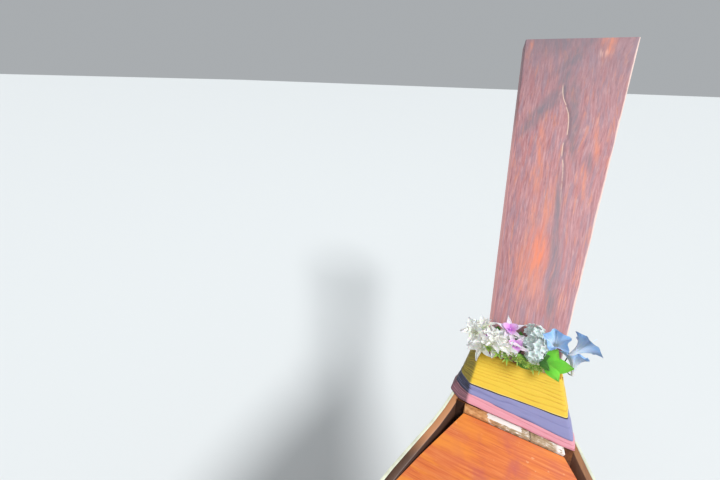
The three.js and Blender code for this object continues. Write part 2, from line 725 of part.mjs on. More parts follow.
function rockerCover() {
  const low = 234 + GAP;
  const section = [[-78, low], [-78, low + 38], [-50, low + 66], [50, low + 66], [78, low + 38], [78, low]];
  const ring = (x) => section.map(([y, z]) => new THREE.Vector3(x, y, z));
  const cover = toSolid(loft([ring(222), ring(628)]));
  const cap = toSolid(bar([560, 0, low + 60], [560, 0, low + 84], 24));
  return toGeometry(cover.add(cap));
}

function bellHousing() {
  return toGeometry(toSolid(bar([60, 0, 0], [190, 0, 0], 88, 20, 132)));
}

function exhaust() {
  const side = 115 + GAP;
  const log = toSolid(block(240, 610, side - 11, side + 34, 168, 214));
  const route = new THREE.CatmullRomCurve3([
    new THREE.Vector3(330, side + 12, 200),
    new THREE.Vector3(320, side + 18, 300),
    new THREE.Vector3(270, side + 18, 420),
    new THREE.Vector3(130, side + 18, 640),
  ]);
  const pipe = toSolid(tube(route, 21, 8, 10));
  const silencer = toSolid(bar([282, side + 18, 396], [190, side + 18, 546], 44, 12));
  return toGeometry(union([log, pipe, silencer]));
}

// A round bar bent along a curve
function tube(route, radius, sides, steps) {
  const section = new THREE.Shape();
  for (let k = 0; k < sides; k += 1) {
    const turn = (k / sides) * 2 * Math.PI;
    const [x, y] = [radius * Math.cos(turn), radius * Math.sin(turn)];
    if (k === 0) section.moveTo(x, y);
    else section.lineTo(x, y);
  }
  section.closePath();
  return new THREE.ExtrudeGeometry(section, { steps, extrudePath: route, bevelEnabled: false });
}

function airCleaner() {
  const side = -104 - GAP;
  const runner = toSolid(block(260, 540, side - 40, side, 172, 216));
  const neck = toSolid(bar([430, side - 30, 200], [430, side - 30, 320], 22));
  const pot = toSolid(bar([430, side - 30, 314], [430, side - 30, 394], 84, 20));
  return toGeometry(union([runner, neck, pot]));
}

// Pulleys on the engine's front, and the alternator that the belt drives
function beltDrive() {
  const face = 660 + GAP;
  const [low, high] = [[0, 0], [70, 150]];
  const side = [-160, 140];
  const wheel = ([y, z], radius) => toSolid(bar([face + 2, y, z], [face + 34, y, z], radius, 18));
  const hubs = [[low, 40], [high, 30]].map(([[y, z], r]) => toSolid(bar([face, y, z], [face + 6, y, z], r)));
  const alternator = toSolid(bar([face - 100, ...side], [face + 8, ...side], 44, 14));
  const belt = plateX([[...low, 66], [...high, 52], [...side, 36]], face + 10, face + 24);
  return toGeometry(union([wheel(low, 70), wheel(high, 56), wheel(side, 40), ...hubs, alternator, belt]));
}

// A belt round wheels given as y, z, radius, between two x: the hull of their outlines, less its middle
function plateX(wheels, x0, x1) {
  const outline = (grow) => {
    const points = wheels.flatMap(([y, z, r]) => Array.from({ length: 16 }, (_, k) => {
      const turn = (k / 16) * 2 * Math.PI;
      return [y + (r + grow) * Math.cos(turn), z + (r + grow) * Math.sin(turn)];
    }));
    return convexOutline(points);
  };
  const slab = (grow, from, to) => {
    const ring = (x) => outline(grow).map(([y, z]) => new THREE.Vector3(x, y, z));
    return toSolid(loft([ring(from), ring(to)]));
  };
  return slab(6, x0, x1).subtract(slab(-3, x0 - 1, x1 + 1));
}

// The corners of the smallest convex outline round a list of points
function convexOutline(points) {
  const sorted = [...points].sort((p, q) => p[0] - q[0] || p[1] - q[1]);
  const turns = (o, a, b) => (a[0] - o[0]) * (b[1] - o[1]) - (a[1] - o[1]) * (b[0] - o[0]);
  const chain = (list) => {
    const kept = [];
    for (const point of list) {
      while (kept.length > 1 && turns(kept.at(-2), kept.at(-1), point) <= 1e-6) kept.pop();
      kept.push(point);
    }
    return kept.slice(0, -1);
  };
  return [...chain(sorted), ...chain(sorted.reverse())];
}

function tailTube() {
  const { tube: radius, end } = TAIL;
  const pipe = toSolid(bar([60 - GAP, 0, 0], [end, 0, 0], radius, TAIL.sides));
  const nose = toSolid(bar([end + 60, 0, 0], [end - 40, 0, 0], radius + 8, TAIL.sides));
  const skeg = [[end + 420, -20], [end + 330, -150], [end + 90, -215], [end + 20, -205], [end + 60, -20]];
  const fin = plate(skeg, -5, 5);
  const chord = plate([[-150, 118], [-150, 136], [-1500, 176], [-1500, 158]], -8, 8);
  const fall = plate([[-1500, 158], [-1500, 176], [-2980, 40], [-2980, 22]], -8, 8);
  const strut = block(-1512, -1488, -8, 8, 20, 168);
  const foot = block(-168, -150, -8, 8, 20, 136);
  return toGeometry(union([pipe, nose, ...[fin, chord, fall, strut, foot].map(toSolid)]));
}

function propeller() {
  const { hub, propeller: radius } = TAIL;
  const shaftEnd = TAIL.end - 40 - GAP;
  const boss = toSolid(bar([shaftEnd, 0, 0], [hub - 46, 0, 0], 24, 14, 34));
  const cone = toSolid(bar([hub - 46, 0, 0], [hub - 92, 0, 0], 34, 14, 10));
  const blades = [0, 1].map((k) => {
    const rings = [[20, 34, 62], [70, 52, 45], [125, 50, 30], [radius, 18, 22]].map(([r, half, pitch]) => {
      const turn = THREE.MathUtils.degToRad(pitch);
      const thick = 4;
      return [[-half, -thick], [half, -thick], [half, thick], [-half, thick]].map(([across, through]) => {
        const x = hub + across * Math.sin(turn) + through * Math.cos(turn);
        const y = across * Math.cos(turn) - through * Math.sin(turn);
        return new THREE.Vector3(x, y, r);
      });
    });
    return toSolid(loft(rings).rotateX(k * Math.PI));
  });
  return toGeometry(union([boss, cone, ...blades]));
}

const TILLER_ROUTE = [
  [716 + GAP, -70, 10],
  [762, -70, 10],
  [930, -70, -42],
  [1300, -70, -140],
  [TILLER_REACH - 170, -70, -238],
];

function tiller() {
  const points = TILLER_ROUTE.map((point) => new THREE.Vector3(...point));
  return toGeometry(toSolid(tube(new THREE.CatmullRomCurve3(points), 16, 10, 14)));
}

function tillerGrip() {
  const [from, to] = TILLER_ROUTE.slice(-2).map((point) => new THREE.Vector3(...point));
  const ahead = to.clone().sub(from).normalize();
  const start = to.clone().addScaledVector(ahead, GAP + 0.3);
  const end = to.clone().addScaledVector(ahead, 172);
  return toGeometry(toSolid(bar(start.toArray(), end.toArray(), 21, 12)));
}

// The scene graph

const boat = new THREE.Group();

function add(parent, name, geometry, finish) {
  const mesh = new THREE.Mesh(geometry, finish);
  mesh.name = name;
  parent.add(mesh);
}

inLengths(keel()).forEach(([suffix, part]) => add(boat, `keel${suffix}`, part, DARK_WOOD));
add(boat, 'stem', stem(), DARK_WOOD);
add(boat, 'prow_board', boardBlank(0), material(0x8a4a4a, 0.75, 0));
add(boat, 'transom', transom(), WOOD);
STRAKES.forEach((name, index) => {
  const whole = strake(index);
  const parts = index === 0 ? inLengths(whole) : [['', whole]];
  parts.forEach(([suffix, port]) => {
    add(boat, `${name}${suffix}_port`, port, WOOD);
    add(boat, `${name}${suffix}_starboard`, mirror(port), WOOD);
  });
});
const strip = gunwaleStrip();
add(boat, 'gunwale_strip_port', strip, CREAM);
add(boat, 'gunwale_strip_starboard', mirror(strip), CREAM);
FRAME_SETS.forEach(([name, first, end]) => add(boat, name, frames(first, end), DARK_WOOD));
add(boat, 'floorboards', floorboards(), WOOD);
add(boat, 'foredeck', foredeck(), VARNISH);
add(boat, 'foredeck_beams', foredeckBeams(), DARK_WOOD);
add(boat, 'deck_batten', deckBatten(), material(0xd9c8a8, 0.6, 0));
add(boat, 'bulkhead', bulkhead(), WOOD);
BENCH_X.forEach((x, index) => add(boat, `bench_${index + 1}`, bench(x), VARNISH));
add(boat, 'helm_deck', helmDeck(), WOOD);
add(boat, 'fuel_tank', fuelTank(), material(0xb02a22, 0.4, 0));
SASHES.forEach((row) => add(boat, row[0], sash(row), material(row[1], 0.7, 0)));
add(boat, 'garland', garland(), material(0xd9dfe8, 0.8, 0));
const sideFrame = canopyFrame();
add(boat, 'canopy_frame_port', sideFrame, WOOD);
add(boat, 'canopy_frame_starboard', mirror(sideFrame), WOOD);
add(boat, 'canopy_bows', canopyBows(), WOOD);
add(boat, 'canopy_cover', canopyCover(), material(0x2f7f9c, 0.8, 0));
add(boat, 'engine_bed', engineBed(), DARK_WOOD);

const swivel = new THREE.Group();
swivel.position.copy(PIVOT);
boat.add(swivel);
add(swivel, 'swivel_fork', swivelFork(), STEEL);

const engine = new THREE.Group();
engine.rotation.y = -SHAFT_SLOPE;
swivel.add(engine);
add(engine, 'cradle', cradle(), STEEL);
add(engine, 'engine_block', engineBlock(), ENGINE_PAINT);
add(engine, 'rocker_cover', rockerCover(), ALLOY);
add(engine, 'bell_housing', bellHousing(), ALLOY);
add(engine, 'exhaust', exhaust(), STEEL);
add(engine, 'air_cleaner', airCleaner(), RUBBER);
add(engine, 'belt_drive', beltDrive(), STEEL);
add(engine, 'tail_tube', tailTube(), STEEL);
add(engine, 'tiller', tiller(), STEEL);
add(engine, 'tiller_grip', tillerGrip(), RUBBER);
add(engine, 'propeller', propeller(), material(0xb08d4a, 0.35, 0.9));

export default boat;
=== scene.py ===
"""Looks of a planked longtail boat with a dressed prow board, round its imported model.

Metres. +X is forward, +Y is port, +Z is up, and the water lies at z = 0.
"""
import contextlib
import math
import random

import bmesh
import bpy
import numpy as np
from mathutils import Matrix, Vector, noise
from mathutils.bvhtree import BVHTree


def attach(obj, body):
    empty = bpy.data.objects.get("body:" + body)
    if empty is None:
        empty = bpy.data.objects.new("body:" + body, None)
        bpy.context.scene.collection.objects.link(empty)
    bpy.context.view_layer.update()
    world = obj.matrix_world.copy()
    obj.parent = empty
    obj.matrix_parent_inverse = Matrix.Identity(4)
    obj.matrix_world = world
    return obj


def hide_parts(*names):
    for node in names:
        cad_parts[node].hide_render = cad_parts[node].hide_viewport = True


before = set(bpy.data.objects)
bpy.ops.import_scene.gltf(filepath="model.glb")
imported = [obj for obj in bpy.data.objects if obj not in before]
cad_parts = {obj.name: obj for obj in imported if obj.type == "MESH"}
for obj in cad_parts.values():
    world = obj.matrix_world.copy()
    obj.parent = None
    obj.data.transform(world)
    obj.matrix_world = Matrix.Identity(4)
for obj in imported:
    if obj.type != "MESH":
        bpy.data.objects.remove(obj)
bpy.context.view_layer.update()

# Camera: a wide lens held over the foredeck, turned to port of the boat's heading
EYE = (3.819, 0.281, 1.935)
LENS_MM = 12.75
SENSOR_MM = 36
TO_PORT = math.radians(23.46)
DOWNWARD = math.radians(31.49)
ROLL = math.radians(0.89)
HEEL = math.radians(0.92)

# Floor at the waterline: how far it reaches, and how far inside the planks' faces its opening ends
FLOOR_REACH = 240.0
FLOOR_INSIDE = 0.009

# Prow, as the model has it
RAKE = math.radians(46.53)
FACE = Vector((4.317, 0, 1.1))
UP_BOARD = Vector((math.sin(RAKE), 0, math.cos(RAKE)))
OFF_BOARD = Vector((-math.cos(RAKE), 0, math.sin(RAKE)))
BOARD_HALF = 0.0805
BOARD_FLARE = 0.078
STEM_THICK = 0.090
STEM_RABBET = 0.025
CUTWATER = 0.048

# Marks on the board: up and across from the middle of its face at deck height, half sizes, and lean across
GREY_MARKS = [
    (1.180, 0.045, 0.070, 0.024, -0.60), (1.110, 0.080, 0.070, 0.028, -0.60),
    (1.050, 0.104, 0.060, 0.024, -0.55), (1.170, -0.016, 0.090, 0.018, 0.10),
    (1.080, -0.028, 0.100, 0.018, 0.15), (0.970, -0.036, 0.080, 0.014, 0.15),
    (1.430, -0.018, 0.070, 0.026, -0.70), (1.350, 0.014, 0.070, 0.026, -0.60),
    (1.270, 0.024, 0.060, 0.018, -0.20), (1.460, 0.080, 0.070, 0.090, 0.0),
    (0.700, -0.024, 0.120, 0.010, 0.10), (0.540, -0.036, 0.140, 0.014, 0.10),
    (0.900, -0.092, 0.050, 0.008, 0.10), (0.400, -0.044, 0.100, 0.014, 0.10),
]
ORANGE_MARKS = [
    (1.450, -0.098, 0.040, 0.024, 0.0), (1.410, -0.100, 0.040, 0.016, 0.0),
    (1.430, 0.170, 0.030, 0.008, 0.0), (1.000, 0.066, 0.060, 0.010, 0.25),
    (0.900, 0.060, 0.070, 0.009, 0.20), (0.790, 0.054, 0.070, 0.010, 0.15),
    (0.700, 0.006, 0.090, 0.016, 0.05), (0.662, 0.044, 0.060, 0.012, 0.10),
    (0.460, 0.016, 0.090, 0.026, 0.05), (0.980, -0.104, 0.080, 0.008, 0.10),
    (0.800, -0.086, 0.080, 0.007, 0.10), (0.480, 0.052, 0.080, 0.014, 0.10),
]
BURNT_MARK = (0.548, 0.010, 0.075, 0.026, 0.05)
PALE_MARKS = [(1.390, -0.086, 0.022, 0.012, 0.0), (1.192, 0.030, 0.012, 0.004, -0.4)]
CRACK_REACH = 1.5
CRACK_SWING = 0.1
# Course of the crack: share of its reach up the board, and 0.5 plus its offset across as a share of its
# swing
CRACK = [(0.0, 0.05), (0.281, 0.051), (0.348, 0.077), (0.454, 0.173), (0.507, 0.246), (0.578, 0.324),
         (0.638, 0.44), (0.662, 0.373), (0.706, 0.395), (0.75, 0.539), (0.809, 0.768), (1.0, 0.9)]

# Middle of the patch of deck that feet have worn most
WORN_PATCH = (4.19, 0.02, 1.08)

# Marks on the batten: the ends of its painted stripe and that stripe's after edge, where bare wood starts
# to turn golden and where it is so, the inner edge of the white end, and the split
BATTEN_STRIPE = (-0.027, 0.063)
BATTEN_STRIPE_AFT = 4.3100
BATTEN_BARE = 0.000
BATTEN_GOLDEN = 0.085
BATTEN_WHITE_END = -0.114
BATTEN_SPLIT = -0.046

# Sashes. Columns: node, finish, z of the lower edge and of the upper edge (each at starboard and at port),
# dip of the lower and of the upper edge at the port gunwale tip, pleats, depth of a pleat, how far it
# stands proud, seed
SASHES = [
    ("sash_pink", "pink_cloth", (1.1110, 1.1162), (1.1275, 1.1375), (0.008, 0.006), 2, 0.0022, 0.0000, 4.1),
    ("sash_blue", "blue_cloth", (1.1260, 1.1355), (1.1600, 1.1545), (0.006, 0.004), 2, 0.0012, 0.0008, 7.7),
    ("sash_yellow", "yellow_cloth", (1.1590, 1.1535), (1.225, 1.2215), (0.004, 0.034), 9, 0.0017, 0.002, 2.3),
]
HEM = 0.0030
# Outer outline of the sashes. Columns: z, then half widths to port and to starboard, each first at the
# board's face and then at the gunwale tip
SASH_OUTLINE = [
    (1.1086, 0.128, 0.184, 0.160, 0.166),
    (1.1350, 0.130, 0.165, 0.147, 0.153),
    (1.1600, 0.131, 0.158, 0.128, 0.137),
    (1.2260, 0.123, 0.142, 0.101, 0.109),
]
SASH_THICK = 0.010
# Room inside the outline for the folds, rounding of its corners, how far the edges are tucked in, half the
# width over which they slant, and from where to where to port they come to hang
SASH_ROOM = 0.0042
SASH_CORNER = 0.007
SASH_TUCK = 0.006
SASH_SLANT = 0.125
SASH_HANGS = (0.122, 0.152)

# Flowers on the garland: up, across and off the board, then the way each faces as up, across and off
# shares, its size, and for some the way its blade leans
LILIES = [
    (0.220, 0.144, 0.032, (0.30, 0.55, 0.75), 0.95), (0.238, 0.124, 0.028, (0.80, 0.40, 0.45), 0.90),
    (0.198, 0.106, 0.038, (0.80, 0.20, 0.60), 1.20), (0.208, 0.080, 0.034, (0.90, 0.00, 0.45), 1.20),
    (0.190, 0.114, 0.042, (-0.05, 0.80, 0.60), 1.00), (0.204, 0.092, 0.050, (0.30, 0.15, 0.95), 0.90),
    (0.204, 0.064, 0.046, (0.25, -0.10, 0.95), 0.75),
]
ORCHIDS = [
    (0.258, 0.058, 0.042, (0.45, 0.15, 0.85), 1.05), (0.222, 0.040, 0.048, (0.15, 0.05, 1.00), 0.95),
    (0.218, 0.114, 0.046, (0.10, 0.40, 0.90), 0.50),
]
POSIES = [
    (0.266, -0.008, 0.030, (0.80, 0.00, 0.60), 0.95), (0.244, -0.012, 0.042, (0.35, -0.10, 0.95), 1.00),
    (0.216, -0.008, 0.046, (-0.30, -0.05, 0.95), 0.85), (0.238, 0.014, 0.036, (0.60, 0.35, 0.70), 0.60),
]
TRUMPETS = [
    (0.250, -0.066, 0.028, (0.37, 0.30, 0.84), 1.10), (0.240, -0.092, 0.046, (0.75, -0.62, 0.05), 1.28),
    (0.194, -0.104, 0.052, (1.00, 0.03, 0.12), 1.10),
]
LEAVES = [(0.204, -0.046, 0.050, (0.12, -1.00, 0.15), 1.15, (0.1, 0.2, 1.0))]
DARK_LEAVES = [
    (0.208, -0.018, 0.044, (-0.50, -0.65, 0.25), 0.85, (0.1, 0.1, 1.0)),
    (0.205, 0.130, 0.020, (-0.20, 0.90, 0.20), 0.60, (0.0, 0.1, 1.0)),
    (0.222, 0.080, 0.014, (0.90, 0.20, 0.10), 0.90, (0.2, 0.0, 1.0)),
    (0.226, 0.020, 0.014, (0.90, 0.15, 0.10), 0.90, (0.2, 0.0, 1.0)),
    (0.222, -0.040, 0.014, (0.90, -0.25, 0.10), 0.80, (0.2, -0.1, 1.0)),
]
BLADES = [
    (0.194, 0.004, 0.050, (0.12, 0.95, 0.05), 0.95, (0.1, 0.0, 1.0)),
    (0.180, 0.074, 0.046, (-0.10, 0.85, 0.30), 0.70, (0.3, 0.1, 1.0)),
    (0.178, 0.026, 0.046, (-0.35, -0.85, 0.25), 0.80, (0.3, 0.1, 1.0)),
]
FRONDS = [
    (0.204, 0.098, 0.040, (-0.30, 0.30, 0.85), 0.85), (0.202, 0.082, 0.044, (-0.35, 0.10, 0.85), 0.90),
    (0.200, 0.066, 0.046, (-0.40, -0.05, 0.80), 0.90), (0.198, 0.048, 0.048, (-0.30, -0.25, 0.85), 0.85),
    (0.194, 0.030, 0.048, (-0.30, -0.35, 0.80), 0.80), (0.192, 0.010, 0.048, (-0.35, -0.30, 0.75), 0.80),
    (0.205, 0.060, 0.042, (-0.20, 0.70, 0.65), 0.80), (0.196, -0.010, 0.048, (-0.40, -0.25, 0.75), 0.75),
]
# Course of the wire that the flowers are tied to: up, across and off the board
GARLAND_WIRE = [(0.206, 0.150, 0.018), (0.204, 0.100, 0.020), (0.202, 0.040, 0.018), (0.202, -0.040, 0.018),
                (0.208, -0.100, 0.020)]
PETAL_GLOW = 0.07

# The photographed bow flares a little more than its solids. Columns: x, and the share that is added to
# every half width there, in full from FLARED_FROM upwards. The deck's edge has its own course
BOW_FLARE = [
    (2.60, 0.0), (3.00, 0.010), (3.40, 0.040), (3.75, 0.076),
    (3.95, 0.078), (4.07, 0.066), (4.16, 0.045), (4.29, 0.0),
]
DECK_FLARE = [
    (2.60, 0.0), (3.00, 0.010), (3.40, 0.040), (3.85, 0.080),
    (4.08, 0.084), (4.157, 0.018), (4.295, 0.0),
]
FLARED_FROM = 0.85

# Canopy. Columns of POSTS, from aft: x, y of the post's middle
POSTS = [(-2.025, 0.850), (-0.225, 0.862), (1.575, 0.755)]
BOWS = [-2.025, -1.125, -0.225, 0.675, 1.575]
BOW_PITCH = 0.9
RAIL = 0.044
RAIL_TOP = 1.622
ROOF_RISE = 0.190
OVERHANG = 0.310
EAVE = 0.075
CANVAS_AFT = BOWS[0] - OVERHANG
CANVAS_FORE = BOWS[-1] + OVERHANG
CANVAS_THREAD = 0.004

# Frames where the planks are nailed, by x, and the height from which the planks of a section are seen
NAILED = [-4.05 + 0.45 * k for k in range(15)] + [2.70, 3.15, 3.60, 3.95]
SECTION_MIDDLE = 0.35

# Engine and tail
PIVOT = Vector((-4.35, 0, 1.05))
SHAFT_SLOPE = math.radians(18.3)
ENGINE_TURN = Matrix.Rotation(-SHAFT_SLOPE, 3, "Y")
HUB = -4.275
PROPELLER = 0.165
BLADE_FOOT = 0.024
# Columns of BLADE: radius, half its width, pitch in degrees. Columns of BOSS: radius, place along the shaft
BLADE = [(BLADE_FOOT, 0.030, 62), (0.070, 0.052, 45), (0.125, 0.050, 30), (PROPELLER, 0.018, 22)]
BOSS = [
    (0.0, -4.2304), (0.024, -4.2304), (0.029, -4.25),
    (0.033, HUB), (0.034, HUB - 0.046), (0.028, HUB - 0.070),
    (0.017, HUB - 0.086), (0.008, HUB - 0.092), (0.0, HUB - 0.092),
]


def rgb(code):
    """A colour as sRGB hex, turned to linear."""
    parts = [int(code[k:k + 2], 16) / 255 for k in (1, 3, 5)]
    return (*[c / 12.92 if c <= 0.04045 else ((c + 0.055) / 1.055) ** 2.4 for c in parts], 1)


class Signal:
    """A node's output as a value to reckon with. Each step of a sum makes one Math node."""

    def __init__(self, socket):
        self.socket = socket
        self.tree = socket.id_data

    def __add__(self, other):
        return reckon("ADD", self, other)

    def __radd__(self, other):
        return reckon("ADD", other, self)

    def __sub__(self, other):
        return reckon("SUBTRACT", self, other)

    def __rsub__(self, other):
        return reckon("SUBTRACT", other, self)

    def __mul__(self, other):
        return reckon("MULTIPLY", self, other)

    def __truediv__(self, other):
        return reckon("DIVIDE", self, other)

    def __abs__(self):
        return reckon("ABSOLUTE", self)


def add(tree, kind, inputs=None, out=0, stops=None, curve=None, **settings):
    """Adds one node with its settings, links and values. Gives back the outputs that are asked for by
    number or name: one, a tuple of them, or none."""
    made = tree.nodes.new(kind)
    for name, value in settings.items():
        setattr(made, name, value)
    for socket, value in (inputs or {}).items():
        if isinstance(value, Signal):
            tree.links.new(value.socket, made.inputs[socket])
        else:
            made.inputs[socket].default_value = value
    if stops:
        elements = made.color_ramp.elements
        elements.remove(elements[1])
        elements[0].position = stops[0][0]
        elements[0].color = rgb(stops[0][1])
        for place, code in stops[1:]:
            elements.new(place).color = rgb(code)
    if curve:
        line = made.mapping.curves[0]
        for place, point in zip((curve[0], curve[-1]), line.points):
            point.location = place
        for x, y in curve[1:-1]:
            line.points.new(x, y)
        made.mapping.update()
    if isinstance(out, tuple):
        return [Signal(made.outputs[one]) for one in out]
    return None if out is None else Signal(made.outputs[out])


def reckon(operation, *values):
    """One step of arithmetic between signals and numbers."""
    tree = next(value.tree for value in values if isinstance(value, Signal))
    return add(tree, "ShaderNodeMath", dict(enumerate(values)), operation=operation)


def mask(value, low, high):
    """0 below low, 1 above high, smooth between."""
    return add(value.tree, "ShaderNodeMapRange", {"Value": value, "From Min": low, "From Max": high},
               interpolation_type="SMOOTHSTEP")


def tinted(colour, where, tint):
    """A colour with another laid over it where a mask says. Each is a hex value or a signal."""
    under, over = (rgb(one) if isinstance(one, str) else one for one in (colour, tint))
    return add(where.tree, "ShaderNodeMix", {0: where, 6: under, 7: over}, out=2, data_type="RGBA")


def speckle(place, scale=1.0, detail=2.0, rough=0.5, bend=0.0, stretch=None):
    """Blotches between 0 and 1, about 1 / scale metres across, or fibres where stretch scales the axes."""
    if stretch:
        place = add(place.tree, "ShaderNodeMapping", {"Vector": place, "Scale": stretch})
    return add(place.tree, "ShaderNodeTexNoise", {"Vector": place, "Scale": scale, "Detail": detail,
                                                  "Roughness": rough, "Distortion": bend}, out="Fac")


def seams(place, pitch, wide):
    """1 in the grooves between boards that lie pitch apart, and a number from 0 to 1 for each board."""
    groove = 1 - mask(reckon("PINGPONG", place, pitch / 2), wide / 4, wide)
    board = add(place.tree, "ShaderNodeTexWhiteNoise", {"W": reckon("FLOOR", place / pitch)}, out="Value",
                noise_dimensions="1D")
    return groove, board


def new_material(name):
    """An empty material and its tree."""
    made = bpy.data.materials.new(name)
    made.use_nodes = True
    made.node_tree.nodes.clear()
    return made, made.node_tree


def finish(tree, colour, roughness, height=None, relief=0.001, **constants):
    """The shader that ends a material. Height is a signal whose full swing stands for relief metres."""
    inputs = {"Base Color": colour, "Roughness": roughness}
    inputs |= {name.replace("_", " "): value for name, value in constants.items()}
    if height is not None:
        bump = {"Height": height, "Distance": relief, "Strength": 1.0}
        inputs["Normal"] = add(tree, "ShaderNodeBump", bump)
    shader = add(tree, "ShaderNodeBsdfPrincipled", inputs)
    add(tree, "ShaderNodeOutputMaterial", {"Surface": shader}, out=None)


def timber(name, dark, middle, light, along="X", ring=0.012, rough=(0.45, 0.65), coat=0.0, boards=None,
           bare=None, bareness=0.0, damp=None, gleam=0.5):
    """Sawn or planed timber: grain stretched along one axis, rings some millimetres apart, boards some
    centimetres wide with grooves between them, bare worn patches, and a painted shade, the dark colour given
    as damp, on the faces that look aft."""
    made, tree = new_material(name)
    place, facing = add(tree, "ShaderNodeTexCoord", out=("Object", "Normal"))
    turn = {"X": (0, 0, 0), "Y": (0, 0, math.pi / 2), "Z": (0, -math.pi / 2, 0)}[along]
    grain = add(tree, "ShaderNodeMapping", {"Vector": place, "Rotation": turn}, vector_type="TEXTURE")
    if boards:
        across = add(tree, "ShaderNodeSeparateXYZ", {0: grain}, out=1)
        groove, board = seams(across, boards, 0.004)
        offset = add(tree, "ShaderNodeCombineXYZ", {0: board * 7})
        grain = add(tree, "ShaderNodeVectorMath", {0: grain, 1: offset}, operation="ADD")
    grain = add(tree, "ShaderNodeMapping", {"Vector": grain, "Scale": (0.7, 0.3 / ring, 0.3 / ring)})
    rings = speckle(grain, detail=5.0, rough=0.62, bend=0.5)
    figure = rings * 0.75 + speckle(grain, 9.0, 3.0) * 0.25
    colour = add(tree, "ShaderNodeValToRGB", {"Fac": figure},
                 stops=[(0.34, dark), (0.5, middle), (0.66, light)])
    height = figure
    if boards:
        tone = add(tree, "ShaderNodeValToRGB", {"Fac": board}, stops=[(0, "#c8c8c8"), (1, "#ffffff")])
        colour = add(tree, "ShaderNodeMix", {0: 1.0, 6: colour, 7: tone}, out=2, data_type="RGBA",
                     blend_type="MULTIPLY")
        colour = tinted(colour, groove, "#1c0f08")
        height = figure - groove * 2.5
    if bare:
        blotch = speckle(grain, 0.45, 4.0, 0.7)
        worn = mask(blotch, 0.66 - bareness * 0.3, 0.78 - bareness * 0.3)
        colour = tinted(colour, worn * 0.75, bare)
    # Painted shade: faces that look aft take the dark colour given as damp
    if damp:
        not_facing_aft = mask(add(tree, "ShaderNodeSeparateXYZ", {0: facing}), -0.6, -0.4)
        colour = tinted(colour, 0.85 - not_facing_aft * 0.85, damp)
    roughness = add(tree, "ShaderNodeMapRange", {"Value": rings, "From Min": 0.3, "From Max": 0.7,
                                                 "To Min": rough[0], "To Max": rough[1]})
    finish(tree, colour, roughness, height, 0.0006, Coat_Weight=coat, Coat_Roughness=0.12,
           Specular_IOR_Level=gleam)
    return made


